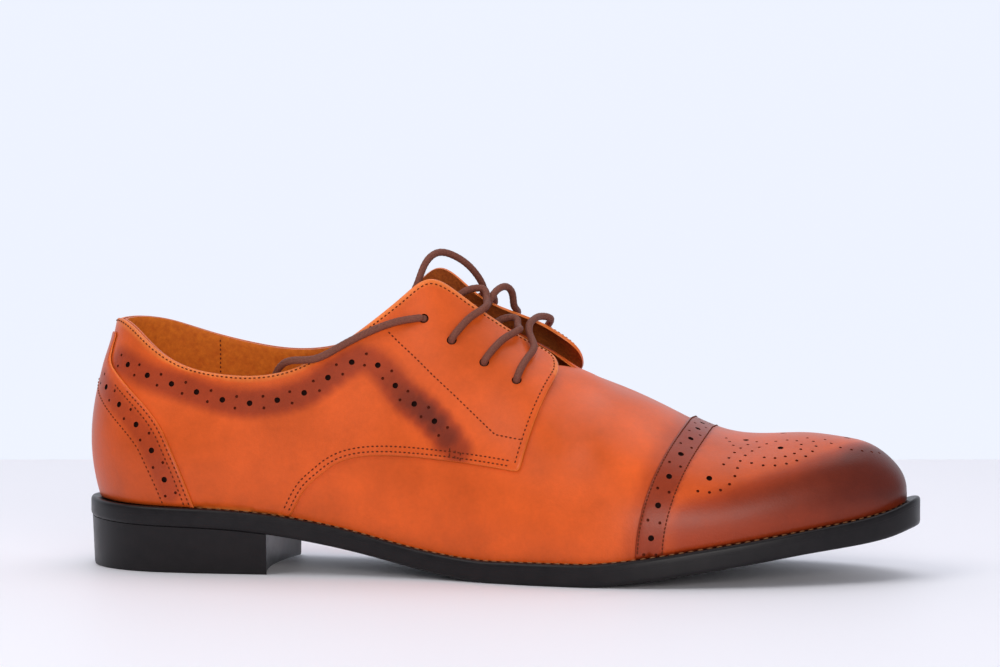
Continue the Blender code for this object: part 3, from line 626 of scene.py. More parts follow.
# Finishes: marks a metre, the shades and roughness they give, gloss and relief
CLOUD_SCALE, PORE_SCALE, GRAIN_SCALE = 34.0, 1500.0, 700.0
CLOUD_SHADE, GRAIN_SHADE, LEATHER_ROUGHNESS = (0.68, 1.12), (0.95, 1.03), (0.32, 0.46)
LEATHER_GLOSS, COAT, COAT_ROUGHNESS = 0.26, 0.06, 0.25
LEATHER_BUMP, LEATHER_RELIEF, PLAIN_RELIEF = 0.16, 0.0002, 0.0003


def shader(name):
    made = bpy.data.materials.new(name)
    made.use_nodes = True
    return made, made.node_tree, made.node_tree.nodes["Principled BSDF"]


def feed(node, inputs):
    """Sets a node's inputs, or links them where the value is another node's output."""
    for name, value in inputs.items():
        if isinstance(value, bpy.types.NodeSocket):
            node.id_data.links.new(value, node.inputs[name])
        else:
            node.inputs[name].default_value = value
    return node


def texture(tree, kind, scale, **values):
    """A texture node over the object's own metres."""
    where = tree.nodes.new("ShaderNodeTexCoord").outputs["Object"]
    return feed(tree.nodes.new("ShaderNodeTex" + kind), {"Vector": where, "Scale": scale, **values})


def ranged(tree, source, low, high):
    made = tree.nodes.new("ShaderNodeMapRange")
    limits = {"From Min": 0.25, "From Max": 0.75, "To Min": low, "To Max": high}
    return feed(made, {"Value": source, **limits}).outputs["Result"]


def ramp(tree, source, stops):
    made = feed(tree.nodes.new("ShaderNodeValToRGB"), {"Fac": source})
    for _ in range(len(stops) - 2):
        made.color_ramp.elements.new(0.5)
    for element, (position, colour) in zip(made.color_ramp.elements, stops):
        element.position = position
        element.color = (*colour, 1)
    return made.outputs["Color"]


def shaded(tree, colour, amount):
    """A colour made lighter and darker by a texture's value."""
    made = tree.nodes.new("ShaderNodeMix")
    made.data_type = "RGBA"
    made.blend_type = "MULTIPLY"
    return feed(made, {"Factor": 1.0, "A": colour, "B": amount}).outputs["Result"]


def bumped(tree, source, strength, distance):
    made = tree.nodes.new("ShaderNodeBump")
    return feed(made, {"Height": source, "Strength": strength, "Distance": distance}).outputs["Normal"]


def leather(name, rim, tan, brown, dark):
    """Polished calf with fine pores. The mesh's burnish, polish and painted shade, darkens it; none gives a
    lighter rim.
    """
    made, tree, body = shader(name)
    burnish_and_shade = tree.nodes.new("ShaderNodeAttribute")
    burnish_and_shade.attribute_name = "burnish_and_shade"
    cloud = texture(tree, "Noise", CLOUD_SCALE, Detail=6.0, Roughness=0.62).outputs["Fac"]
    pores = texture(tree, "Voronoi", PORE_SCALE).outputs["Distance"]
    grain = texture(tree, "Noise", GRAIN_SCALE, Detail=4.0, Roughness=0.65).outputs["Fac"]
    colour = ramp(tree, burnish_and_shade.outputs["Fac"], [(0.0, rim), (PLAIN, tan), (0.5, brown), (1.0, dark)])
    for source, shades in ((cloud, CLOUD_SHADE), (grain, GRAIN_SHADE)):
        colour = shaded(tree, colour, ranged(tree, source, *shades))
    height = tree.nodes.new("ShaderNodeMath")
    height.operation = "ADD"
    for source, socket in zip((pores, grain), height.inputs):
        tree.links.new(source, socket)
    feed(body, {
        "Base Color": colour, "Roughness": ranged(tree, cloud, *LEATHER_ROUGHNESS),
        "Specular IOR Level": LEATHER_GLOSS, "Coat Weight": COAT, "Coat Roughness": COAT_ROUGHNESS,
        "Normal": bumped(tree, height.outputs["Value"], LEATHER_BUMP, LEATHER_RELIEF)})
    return made


def plain(name, light, deep, scale, roughness, bump, gloss):
    """A finish of one colour, mottled at the given scale."""
    made, tree, body = shader(name)
    mottle = texture(tree, "Noise", scale, Detail=6.0, Roughness=0.65).outputs["Fac"]
    feed(body, {
        "Base Color": ramp(tree, mottle, [(0.3, deep), (0.7, light)]),
        "Roughness": ranged(tree, mottle, *roughness),
        "Specular IOR Level": gloss, "Normal": bumped(tree, mottle, bump, PLAIN_RELIEF)})
    return made


LEATHER = leather(
    "tan_leather", (0.82, 0.19, 0.032), (0.70, 0.098, 0.010), (0.38, 0.043, 0.006), (0.11, 0.013, 0.005))
SUEDE = plain("suede_underside", (0.46, 0.11, 0.016), (0.24, 0.046, 0.007), 900.0, (0.8, 0.95), 0.5, 0.2)
LINING = plain("lining_leather", (0.72, 0.19, 0.016), (0.52, 0.105, 0.008), 500.0, (0.62, 0.8), 0.35, 0.2)
# Holes: their walls and bottoms painted dark as the shade inside a punched hole
PUNCHED_SHADE = plain("punched_hole_shade", (0.020, 0.005, 0.003), (0.008, 0.003, 0.002), 800.0, (0.8, 0.95), 0.2, 0.1)
PRICKED_SHADE = plain("pricked_hole_shade", (0.19, 0.028, 0.010), (0.09, 0.013, 0.005), 800.0, (0.8, 0.95), 0.2, 0.1)
THREAD = plain("dark_thread", (0.17, 0.032, 0.010), (0.08, 0.015, 0.005), 2500.0, (0.6, 0.8), 0.3, 0.1)
PALE_THREAD = plain("pale_thread", (0.36, 0.17, 0.07), (0.16, 0.06, 0.025), 2500.0, (0.6, 0.8), 0.3, 0.2)
BLACK = plain("black_sole", (0.011, 0.009, 0.010), (0.006, 0.005, 0.006), 160.0, (0.30, 0.44), 0.08, 0.22)
LACE = plain("brown_lace", (0.22, 0.072, 0.046), (0.11, 0.032, 0.020), 1800.0, (0.55, 0.75), 0.5, 0.25)


# Meshes
def put(name, data):
    """A new object in the scene."""
    made = bpy.data.objects.new(name, data)
    bpy.context.scene.collection.objects.link(made)
    return made


def piece(name, points, faces, finishes, slot, which=None, burnish_and_shade=None, stands_for=(), crisp=0.7):
    """One object of the shoe from points in millimetres. Points that coincide become one."""
    if stands_for:
        name += "_dressed"
    mesh = bpy.data.meshes.new(name)
    mesh.from_pydata(to_frame(points).tolist(), [], [[int(v) for v in face] for face in faces])
    for finish in finishes:
        mesh.materials.append(finish)
    if which is not None:
        mesh.polygons.foreach_set("material_index", np.asarray(which, np.int32))
    if burnish_and_shade is not None:
        # burnish darkens the leather as polish, and as painted shade behind the cap, in the throat, on the
        # tongue and on the counter
        shade = mesh.attributes.new("burnish_and_shade", "FLOAT", "POINT")
        shade.data.foreach_set("value", np.asarray(burnish_and_shade, np.float32))
    work = bmesh.new()
    work.from_mesh(mesh)
    bmesh.ops.remove_doubles(work, verts=work.verts, dist=WELD)
    bmesh.ops.recalc_face_normals(work, faces=work.faces)
    work.to_mesh(mesh)
    work.free()
    mesh.shade_smooth()
    mesh.set_sharp_from_angle(angle=crisp)
    obj = put(name, mesh)
    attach(obj, "root")
    if stands_for:
        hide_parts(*stands_for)
    return obj


def joined(parts):
    """Several lots of points and faces as one."""
    points, faces, first = [], [], 0
    for some, which in parts:
        points.append(some)
        faces += [[int(v) + first for v in face] for face in which]
        first += len(some)
    return np.concatenate(points), faces


def strip(first, second):
    """Quads between two equally long runs of point numbers."""
    return [(first[k], first[k + 1], second[k + 1], second[k]) for k in range(len(first) - 1)]


def closed_rows(count, rows):
    """Numbers of the points of stacked rings, and the same with each ring's first point again at its end."""
    number = np.arange(count * rows).reshape(rows, count)
    return number, np.concatenate([number, number[:, :1]], 1)


def stacked(rings):
    """Points and faces of rings stacked into one body, with a face at both ends."""
    number, closed = closed_rows(len(rings[0]), len(rings))
    faces = [face for k in range(len(rings) - 1) for face in strip(closed[k], closed[k + 1])]
    return np.concatenate(rings), faces + [number[0], number[-1]]


def sheet_faces(columns, rows, top_open, ends):
    """Faces of a sheet with two grids of points [column, row], and which belong to its outer grid."""
    number = np.arange(columns * rows).reshape(columns, rows)
    back = number + columns * rows
    outer, inner, rim = [], [], []
    for j in range(columns - 1):
        outer += strip(number[j], number[j + 1])
        inner += strip(back[j + 1], back[j])
        rim.append((number[j, 0], number[j + 1, 0], back[j + 1, 0], back[j, 0]))
        if top_open[j]:
            rim.append((number[j + 1, -1], number[j, -1], back[j, -1], back[j + 1, -1]))
    if ends:
        rim += strip(back[0], number[0]) + strip(number[-1], back[-1])
    return outer + rim + inner, [0] * (len(outer) + len(rim)) + [1] * len(inner)


def panel(name, place, loop, holes, thick, burnish_and_shade, slot, rounded, rim):
    """A sheet of leather within the loop, with blind punched holes and a rounded edge.

    rounded says for each point of the loop whether the edge is rounded there, and rim is the edge's burnish.
    """
    insets = [beside(place, loop, distance)[rounded] for distance, _ in EDGE_ROUND[1:]]
    insets = [run[inside(loop, run)] for run in insets]
    rings = [
        circle(place, spot, radius, LARGE_SIDES if radius > SMALL_HOLE else SMALL_SIDES)
        for spot, radius in holes]
    middles = np.array([spot for spot, _ in holes])
    taken = np.concatenate([loop, *insets, *rings, middles])
    spots = np.concatenate([*insets, grid_within(loop, PANEL_STEP, taken)])
    flat, triangles = fill(loop, rings, spots)
    drop = np.zeros(len(flat))
    drop[:len(loop)] = EDGE_ROUND[0][1]
    first = len(loop) + sum(len(ring) for ring in rings)
    for run, (_, fall) in zip(insets, EDGE_ROUND[1:]):
        drop[first:first + len(run)] = fall
        first += len(run)
    outer = place(flat, thick - drop)
    shade = np.clip(burnish_and_shade(flat, outer), 0, 1)
    shade[:len(loop)] = rim

    points, faces, which = [outer], [list(t) for t in triangles], [0] * len(triangles)
    first, start = len(outer), len(loop)
    for ring in rings:
        count = len(ring)
        around = np.arange(count + 1) % count
        # each hole's wall and bottom take the painted hole shade
        points.append(place(ring, thick - HOLE_DEPTH))
        faces += strip(around + start, around + first) + [np.arange(count) + first]
        which += [2 if count == LARGE_SIDES else 3] * (count + 1)
        start, first = start + count, first + count
    inner_flat, inner_triangles = fill(loop, [], grid_within(loop, BACKING_STEPS * PANEL_STEP, loop))
    points.append(place(inner_flat, 0.0))
    faces += (inner_triangles[:, ::-1] + first).tolist()
    which += [1] * len(inner_triangles)
    edge = np.arange(len(loop) + 1) % len(loop)
    faces += strip(edge.tolist(), (edge + first).tolist())
    which += [0] * len(loop)
    points = np.concatenate(points)
    all_shade = np.full(len(points), rim)
    all_shade[:len(outer)] = shade
    finishes = [LEATHER, SUEDE, PUNCHED_SHADE, PRICKED_SHADE]
    piece(name, points, faces, finishes, slot, which, all_shade, (name,), 1.0)


def stitch_row(place, way, offset, pitch=STITCH_PITCH, share=STITCH_SHARE):
    """Stitches along a way on the leather, as points and faces."""
    ends = spaced(place, way, pitch)
    spots = place(ends, offset)
    out = place(ends, offset + 1.0) - spots
    return stitches(spots, out, share, STITCH_RADIUS)


def stitches(ends, out, share, radius):
    """A small rounded body between each two ends, as long as the given share of their distance."""
    centre = (ends[:-1] + ends[1:]) / 2
    ahead = (ends[1:] - ends[:-1]) * share / 2
    up = unit((out[:-1] + out[1:]) / 2)
    aside = unit(np.cross(ahead, up))
    rings = [centre - ahead]
    for part, swell in STITCH_FORM:
        for angle in np.arange(STITCH_SIDES) * 2 * np.pi / STITCH_SIDES:
            out_there = np.cos(angle) * aside + np.sin(angle) * up
            rings.append(centre + part * ahead + radius * swell * out_there)
    rings.append(centre + ahead)
    points = np.stack(rings, 1).reshape(-1, 3)
    last = len(rings) - 1
    top = last - STITCH_SIDES
    one = []
    for a in range(STITCH_SIDES):
        b = (a + 1) % STITCH_SIDES
        one.append((0, 1 + b, 1 + a))
        for row in range(1, top, STITCH_SIDES):
            one.append((row + a, row + b, row + STITCH_SIDES + b, row + STITCH_SIDES + a))
        one.append((top + a, top + b, last))
    return points, [[v + (last + 1) * k for v in face] for k in range(len(centre)) for face in one]


def lace_points(route):
    """Points at equal steps along a lace's way."""
    knots = []
    for where, first, second, third in route:
        if where == FREE:
            knots.append((first, second, third))
            continue
        offset = GAP + QUARTER_THICK + flap_lift(first, second, where) + third
        knots.append(skin(turn(first), second, where, offset))
    return smooth_way(knots)


def into_eyelets(route):
    """The same way, with each end that lies on an eyelet led down into it."""
    way = list(route)
    for end in (0, -1):
        where, station, rise, _ = way[end]
        if where == FREE:
            continue
        down = [(where, station, rise, DIVE), (where, station, rise, SINK)]
        way = down + way[1:] if end == 0 else way[:-1] + down[::-1]
    return way


def lace_tube(points):
    """Points and faces of a round braided lace with rounded ends."""
    along = unit(np.gradient(points, axis=0))
    run = lengths(points)
    across = np.cross(along[0], (0, 1, 0))
    turns = np.arange(LACE_SIDES) * 2 * np.pi / LACE_SIDES
    rings = []
    for point, ahead, way in zip(points, along, run):
        across = unit(across - ahead * (across @ ahead))
        beam = np.cross(ahead, across)
        lay = 2 * np.pi * way / BRAID_PITCH
        braid = np.cos(BRAID_STRANDS * turns + lay) * np.cos(BRAID_STRANDS * turns - lay)
        end = min(way, run[-1] - way) / LACE_RADIUS
        radius = LACE_RADIUS * (1 + BRAID_DEPTH * braid) * np.sqrt(1 - LACE_BLUNT * (1 - min(end, 1)) ** 2)
        round_it = np.outer(radius * np.cos(turns), across) + np.outer(radius * np.sin(turns), beam)
        rings.append(point + round_it)
    return stacked(rings)


def ring(inset, level, above=0.0):
    """Closed run of points round the sole: back of the heel, lateral side, toe and medial side."""
    inset = np.broadcast_to(inset, U.shape)
    lateral, _ = outline(U, LATERAL, inset)
    medial, _ = outline(U[1:-1], MEDIAL, inset[1:-1])
    plan = np.concatenate([lateral, medial[::-1]])
    return raised(plan, level(turn(plan[:, 0])) + above)


def ring_body(name, rings, finish, slot, hollow):
    """Rings stacked into one body: a closed frame when hollow, or else capped at both ends."""
    count = len(rings[0])
    number, closed = closed_rows(count, len(rings))
    faces = []
    for k in range(len(rings) - (0 if hollow else 1)):
        faces += strip(closed[k], closed[(k + 1) % len(rings)])
    if not hollow:
        half = count // 2
        for row in (number[0], number[-1]):
            faces += strip(row[:half + 1], np.concatenate([row[:1], row[half:][::-1]]))
    piece(name, np.concatenate(rings), faces, [finish], slot, stands_for=(name,))


# Pieces of the shoe
def make_camera():
    data = bpy.data.cameras.new("camera")
    data.lens, data.sensor_width = CAMERA_LENS, CAMERA_SENSOR
    camera = put("camera", data)
    azimuth, elevation = np.radians([CAMERA_AZIMUTH, CAMERA_ELEVATION])
    level = np.cos(elevation)
    back = Vector((np.sin(azimuth) * level, -np.cos(azimuth) * level, np.sin(elevation)))
    camera.location = Vector(to_frame(CAMERA_AIM)) + back * CAMERA_DISTANCE * MM
    camera.rotation_euler = (-back).to_track_quat("-Z", "Y").to_euler()
    bpy.context.scene.camera = camera


def make_lace_ends():
    roots = []
    for name, route in LACE_ENDS.items():
        points = lace_points(route)
        cord = piece(name, *lace_tube(points), [LACE], "lace", stands_for=(name,))
        path = to_frame(points)
        tuple(path[0])
        float(lengths(path)[-1])
        where, station, rise, _ = route[0]
        down = lace_points([(where, station, rise, z) for z in (DIVE, ROOT_SINK, ROOT)])
        roots.append(lace_tube(down))
    piece("lace_roots", *joined(roots), [LACE], "lace")


def make_laces():
    bar = lace_tube(lace_points(into_eyelets(FRONT_BAR)))
    piece("lace_bar", *bar, [LACE], "lace", stands_for=("lace_bar",))
    crossings = [lace_tube(lace_points(into_eyelets(route))) for route in CROSSINGS.values()]
    piece("lace_crossings", *joined(crossings), [LACE], "lace", stands_for=("lace_crossings",))


def make_sole():
    seat = -WELT_THICK - SEAT_GAP
    step = WELT_INNER + GAP
    ring_body("outsole", [
        ring(step, ledge), ring(step, ledge, seat), ring(0.0, ledge, seat),
        *(ring(inset, underside, above) for inset, above in SOLE_ROUND)], BLACK, "sole", hollow=False)
    ring_body("welt", [
        ring(WELT_INNER, ledge), *(ring(inset, ledge, above) for inset, above in WELT_ROUND),
        ring(WELT_INNER, ledge, -WELT_THICK)], BLACK, "sole", hollow=True)
    inset = FEATHER + WALL + INSOLE_CLEAR
    top = GAP + INSOLE_THICK
    ring_body("insole", [
        ring(inset + INSOLE_CLEAR, ledge, top), ring(inset + INSOLE_CLEAR / 3, ledge, top - INSOLE_CLEAR / 3),
        ring(inset, ledge, top - INSOLE_CLEAR), ring(inset, ledge, GAP)], LINING, "lining", hollow=False)


def make_heel():
    u = np.linspace(0, float(turn(BREAST)), HEEL_STEPS)
    across = np.linspace(-1, 1, 33)[1:-1]

    def level(inset, height):
        lateral, _ = outline(u, LATERAL, np.full_like(u, inset))
        medial, _ = outline(u[1:], MEDIAL, np.full_like(u[1:], inset))
        middle = (lateral[-1, 1] + medial[-1, 1]) / 2
        half = (medial[-1, 1] - lateral[-1, 1]) / 2
        front = np.stack([BREAST - BREAST_HOLLOW * (1 - across ** 2), middle + half * across], -1)
        plan = np.concatenate([lateral, front, medial[::-1]])
        return raised(plan, height(turn(plan[:, 0])))

    rows = [
        level(HEEL_TAPER + HEEL_ROUND * inwards, lambda v: np.full_like(v, HEEL_ROUND * upwards))
        for inwards, upwards in HEEL_EDGE]
    rows.append(level(HEEL_INSET, lambda v: underside(v) - SEAT_GAP))
    piece("heel", *stacked(rows), [BLACK], "sole", stands_for=("heel",))


def wall_top(u):
    """Where the wall ends up its profile: at the collar, below the facings, and at the ridge."""
    s = station_at(u)
    after_collar = smooth((s - COLLAR_END) / COLLAR_EASE)
    before_throat = 1 - smooth((s - THROAT + THROAT_EASE) / THROAT_EASE)
    return 1 - FACING_BACK * after_collar * before_throat


def cap_edge_station(rise, side):
    return CAP_RIDGE + (CAP_SIDE[side] - CAP_RIDGE) * smooth((1 - rise) ** CAP_SWEEP)


def make_upper():
    """The lasted wall: vamp and lining in one hollow sheet."""
    rows = np.linspace(0, 1, WALL_ROWS)
    u = np.unique(np.concatenate([U, turn([THROAT])]))
    grid_u = np.repeat(u[:, None], WALL_ROWS, 1)
    grid_rise = wall_top(u)[:, None] * rows
    station = station_at(grid_u)
    joined_over = station_at(u) >= THROAT - 1e-6
    push = crease(station, grid_rise)
    rim = RIM_ROLL * smooth((rows - RIM_START) / (1 - RIM_START)) * ~joined_over[:, None]
    sheets = []
    for offset, roll in ((0.0, -rim), (-WALL, rim)):
        lateral, medial = (skin(grid_u, grid_rise, side, offset + roll + push) for side in SIDES)
        medial[joined_over, -1] = lateral[joined_over, -1]
        medial[0] = lateral[0]
        tip = lateral[-1, 0]
        lateral[-1], medial[-1] = tip, tip
        sheets.append(np.concatenate([lateral[::-1], medial[1:]]))
    behind_cap = [cap_edge_station(grid_rise, side) - station for side in SIDES]
    # painted shade in the throat, between the flaps
    dark = THROAT_SHADE
    painted_throat_shade = smooth((grid_rise - dark["rise"]) / dark["rise_fade"])
    for past in (station - dark["back"], dark["front"] - station):
        painted_throat_shade = painted_throat_shade * smooth(past / dark["fade"])
    painted_throat_shade = np.maximum(painted_throat_shade, PLAIN)
    # painted shade on the vamp just behind the cap's edge
    shade = [
        np.maximum(CAP_SHADE * (1 - smooth((away - CAP_SHADE_START) / CAP_SHADE_FADE)), painted_throat_shade)
        for away in behind_cap]
    shade = np.concatenate([shade[0][::-1], shade[1][1:]]).ravel()
    along = np.concatenate([station[::-1], station[1:]]).ravel()
    shade = np.maximum(shade, TIP_SHADE * smooth((along - TIP_START) / TIP_FADE))
    top_open = ~joined_over[:-1]
    faces, which = sheet_faces(2 * len(u) - 1, WALL_ROWS, np.concatenate([top_open[::-1], top_open]), False)
    points = np.concatenate([sheet.reshape(-1, 3) for sheet in sheets])
    burnish_and_shade = np.concatenate([shade, np.zeros_like(shade)])
    piece("upper", points, faces, [LEATHER, LINING], "leather", which, burnish_and_shade, ("upper",), 1.0)


def make_tongue():
    station = np.linspace(TONGUE["station"][0], TONGUE["station"][-1], TONGUE_STEPS)
    height, half, arch = (curve(TONGUE, name, station)[:, None] for name in ("height", "half", "arch"))
    tip = 1 - smooth(np.linspace(0, 1, TONGUE_STEPS)[:, None] / TONGUE_TIP)
    across = np.linspace(-1, 1, TONGUE_ROWS)
    y = half * (1 - TONGUE_NARROW * tip) * across
    along = np.broadcast_to(station[:, None], y.shape)
    middle = np.stack([along, y + TONGUE_MIDDLE, height - y ** 2 / (2 * arch)], -1)
    thin = 1 - TONGUE_THIN * smooth((np.abs(across) - TONGUE_THIN_AT) / (1 - TONGUE_THIN_AT))
    half_up = TONGUE_UP * TONGUE_THICK / 2 * thin[None, :, None]
    faces, which = sheet_faces(TONGUE_STEPS, TONGUE_ROWS, [True] * (TONGUE_STEPS - 1), True)
    points = np.concatenate([(middle + half_up).reshape(-1, 3), (middle - half_up).reshape(-1, 3)])
    # the tongue painted fully dark, as the shade in the throat between the flaps
    shade = np.full(len(points), 1.0)
    piece("tongue", points, faces, [LEATHER, SUEDE], "leather", which, shade, ("tongue",), 1.0)


def punched_row(place, way, count):
    """Large holes along a way, with a pair of small ones before, between and after them."""
    fine = spaced_count(place, way, 2 * count * HOLE_STEPS)
    holes = [(spot, LARGE_HOLE) for spot in fine[HOLE_STEPS::2 * HOLE_STEPS]]
    for distance in (-PAIR_APART, PAIR_APART):
        holes += [(spot, SMALL_HOLE) for spot in beside(place, fine, distance)[::2 * HOLE_STEPS]]
    return holes


def near(points, line, depths, core, fade):
    """The line's own depth within core of it, falling to 0 over fade."""
    most = np.zeros(len(points))
    for spot, depth in zip(line, np.broadcast_to(depths, len(line))):
        distance = np.linalg.norm(points - spot, axis=1)
        most = np.maximum(most, depth * (1 - smooth((distance - core) / fade)))
    return most


def rounded_loop(place, runs, keep):
    """One closed loop of the runs, evenly spaced, with its corners rounded a little where keep is false."""
    whole = np.concatenate([*runs, runs[0][:1]])
    loop = spaced(place, whole, EDGE_STEP)[:-1]
    for _ in range(EDGE_ROUNDS):
        loop = np.where(keep(loop)[:, None], loop, eased(loop))
    return loop


def eased(loop):
    """A closed loop with each point moved half way towards its neighbours."""
    return (np.roll(loop, 1, 0) + 2 * loop + np.roll(loop, -1, 0)) / 4


def make_quarter(side):
    place = quarter_place(side)
    slant = FLAP_SLANT[side]
    steps = QUARTER_STEPS
    station = station_at(np.linspace(turn(QUARTER_BACK), turn(FLAP_FRONT), steps["lower"]))
    first = QUARTER_EDGE["station"][0]
    height = curve(QUARTER_EDGE, "height", np.maximum(station, first))
    low = np.where(station <= first, 0.0, rise_at(turn(station), height, side))
    lower = at(station, low)
    part = np.linspace(0, 1, steps["front"])
    front = at(FLAP_FRONT + slant * part, low[-1] + (1 - FLAP_CUT[side] - low[-1]) * part)
    corner = FLAP_FRONT + slant - FLAP_CORNER[side]
    bend = np.linspace(0, np.pi / 2, steps["corner"])
    rounding = at(corner + FLAP_CORNER[side] * np.cos(bend), 1 - FLAP_CUT[side] * (1 - np.sin(bend)))
    edge = at(station_at(np.linspace(turn(corner), turn(QUARTER_BACK), steps["top"])), 1.0)
    top = np.concatenate([rounding, edge[1:]])
    back = at(QUARTER_BACK, np.linspace(1, 0, steps["back"]))
    seam = at(SEAM_KEPT, 0.0)[0]
    loop = rounded_loop(place, [lower[:-1], front[:-1], top[:-1], back[:-1]], lambda xy: xy[:, 0] < seam)
    tip = at(corner - CORNER_BACK, CORNER_LOW)
    for _ in range(CORNER_ROUNDS):
        loop = np.where(((loop > tip).all(1))[:, None], eased(loop), loop)

    row = smooth_way([at(*spot) for spot in COLLAR_ROW])
    holes = punched_row(place, row, COLLAR_HOLES)
    holes += [(at(*spot), EYELET_RADIUS) for spot in EYELETS]
    polish = smooth_way([at(*spot) for spot in [*COLLAR_ROW, COLLAR_ROW_END]])[::8]
    depth = between(ROW_BURNISH, "depth", station_at(polish[:, 0] / AROUND))
    band = place(polish, QUARTER_THICK)
    collar = place(top[::2], QUARTER_THICK)

    def burnish_and_shade(flat, points):
        dark = np.maximum(near(points, band, depth, *ROW_SPREAD), PLAIN)
        return dark * (1 - near(points, collar, 1.0, *RIM_SPREAD))

    name = "quarter_" + SIDE_NAME[side]
    panel(name, place, loop, holes, QUARTER_THICK, burnish_and_shade, "leather", np.ones(len(loop), bool), 0.0)

    lower_part = lower[lower[:, 0] > at(first + 0.5, 0.0)[0]]
    ways = [beside(place, lower_part, distance)[:-4] for distance in LOWER_ROWS]
    rim_way = np.concatenate([front[:-1], top])
    inset = between(TOPLINE_ROW, "inset", station_at(rim_way[:, :1] / AROUND))
    ways.append(beside(place, rim_way, inset)[3:-1])
    ways.append(smooth_way([at(*spot) for spot in FACING_SEAM]))
    ways.append(np.linspace(at(*FACING_TACK[0]), at(*FACING_TACK[1]), 20))
    ways += [at(np.full(3, s), np.linspace(a, b, 3)) for s, a, b in LOWER_TACK]
    return [stitch_row(place, way, QUARTER_THICK + STITCH_UP) for way in ways]


def make_toe_cap():
    across = np.linspace(-1, 1, CAP_STEPS["rear"])
    side = np.where(across < 0, LATERAL, MEDIAL)
    rise = 1 - np.abs(across)
    station = np.where(across < 0, cap_edge_station(rise, LATERAL), cap_edge_station(rise, MEDIAL))
    rear = cap_at(station, rise, side)[::-1]
    tip = [cap_at(CAP_TIP, 0.0, s) for s in SIDES]
    lower_lateral = np.linspace(rear[-1], tip[0], CAP_STEPS["lower"])
    point = np.linspace(*tip, CAP_STEPS["tip"])
    lower_medial = np.linspace(tip[1], rear[0], CAP_STEPS["lower"])
    runs = [rear, lower_lateral[1:-1], point, lower_medial[1:-1]]
    loop = np.concatenate([spaced(cap_place, rear, EDGE_STEP), *runs[1:]])
    is_rear = np.arange(len(loop)) < len(loop) - sum(len(run) for run in runs[1:])

    row = beside(cap_place, rear, CAP_MIDDLE)[3:-3]
    holes = punched_row(cap_place, row, round(lengths(cap_place(row, 0.0))[-1] / CAP_PITCH))
    for side in SIDES:
        for spots in MEDALLION_ROWS:
            way = smooth_way([cap_at(*spot, side) for spot in spots])
            holes += [(spot, SMALL_HOLE) for spot in spaced(cap_place, way, MEDALLION_PITCH)]
        holes += [(cap_at(*spot, side), LARGE_HOLE) for spot in MEDALLION_LARGE]
    holes += [(cap_at(s, 1.0, MEDIAL), LARGE_HOLE) for s in MEDALLION_MIDDLE]
    edge = cap_place(rear[::3], CAP_THICK)

    def burnish_and_shade(flat, points):
        band = near(points, edge, *CAP_BURNISH)
        rise = 1 - np.abs(flat[:, 1]) / UP
        full, clear, depth = (between(TOE_BURNISH, name, points[:, 0]) for name in ("full", "clear", "depth"))
        low = 1 - TOE_LIGHT * (1 - smooth(rise / TOE_LIGHT_RISE))
        toe = depth * low * (1 - smooth((rise - full) / (clear - full)))
        return np.maximum(np.maximum(band, toe), POLISH_AND_SHADE)

    panel("toe_cap", cap_place, loop, holes, CAP_THICK, burnish_and_shade, "burnished", is_rear, CAP_RIM)
    rows = [beside(cap_place, rear, distance)[3:-3] for distance in CAP_ROWS]
    up = CAP_THICK + STITCH_UP
    return [stitch_row(cap_place, way, up, CAP_STITCH_PITCH, CAP_STITCH_SHARE) for way in rows]


def make_counter():
    rise = np.linspace(COUNTER["rise"][0], COUNTER["rise"][-1], COUNTER_STEPS)
    station = curve(COUNTER, "station", rise, "rise")
    medial = counter_at(station, rise, MEDIAL)
    lateral = counter_at(station, rise, LATERAL)[::-1]
    bottom = np.linspace(lateral[-1], medial[0], COUNTER_ENDS)[1:-1]
    top = np.linspace(medial[-1], lateral[0], COUNTER_ENDS)[1:-1]
    loop = rounded_loop(counter_place, [medial, top, lateral, bottom], lambda xy: xy[:, 1] < COUNTER_KEPT)

    def inside_edge(run, distance, low):
        """The run's edge shifted inwards, as far as it stays on its own side of the back seam."""
        way = beside(counter_place, run, distance)
        own_side = way[:, 0] * np.sign(run[:, 0]) > COUNTER_SEAM
        return way[own_side & (way[:, 1] > low * UP) & (way[:, 1] < COUNTER_HIGH * UP)]

    holes, bands, rows = [], [], []
    for run in (medial, lateral):
        row = inside_edge(run, COUNTER_ROW, HOLES_LOW)
        holes += punched_row(counter_place, row, COUNTER_HOLES)
        bands.append(counter_place(row[::4], COUNTER_THICK))
        for distance in COUNTER_ROWS:
            way = inside_edge(run, distance, COUNTER_LOW)
            rows.append(stitch_row(counter_place, way, COUNTER_THICK + STITCH_UP))
    line = np.concatenate(bands)

    def burnish_and_shade(flat, points):
        # the counter's whole back painted darker, as shade on the heel's back; the band along its rows is
        # polish
        return np.maximum(near(points, line, *COUNTER_BURNISH), POLISH_AND_SHADE)

    free_edge = loop[:, 1] > COUNTER_KEPT
    panel("counter", counter_place, loop, holes, COUNTER_THICK, burnish_and_shade, "burnished", free_edge, 0.0)
    return rows


def make_welt_stitches():
    """Pale thread on the welt, close to the upper."""
    rows = []
    u = np.linspace(*WELT_SEAM, WELT_STEPS)
    for side in SIDES:
        plan, _ = outline(u, side, form_of["inset"](u) - WELT_SEAM_OUT)
        points = raised(plan, ledge(turn(plan[:, 0])) + WELT_SEAM_UP)
        along = lengths(points)
        points = parted(along, points, round(along[-1] / WELT_PITCH))
        rows.append(stitches(points, np.tile((0.0, 0.0, 1.0), (len(points), 1)), WELT_SHARE, WELT_STITCH))
    piece("welt_stitches", *joined(rows), [PALE_THREAD], "sole")


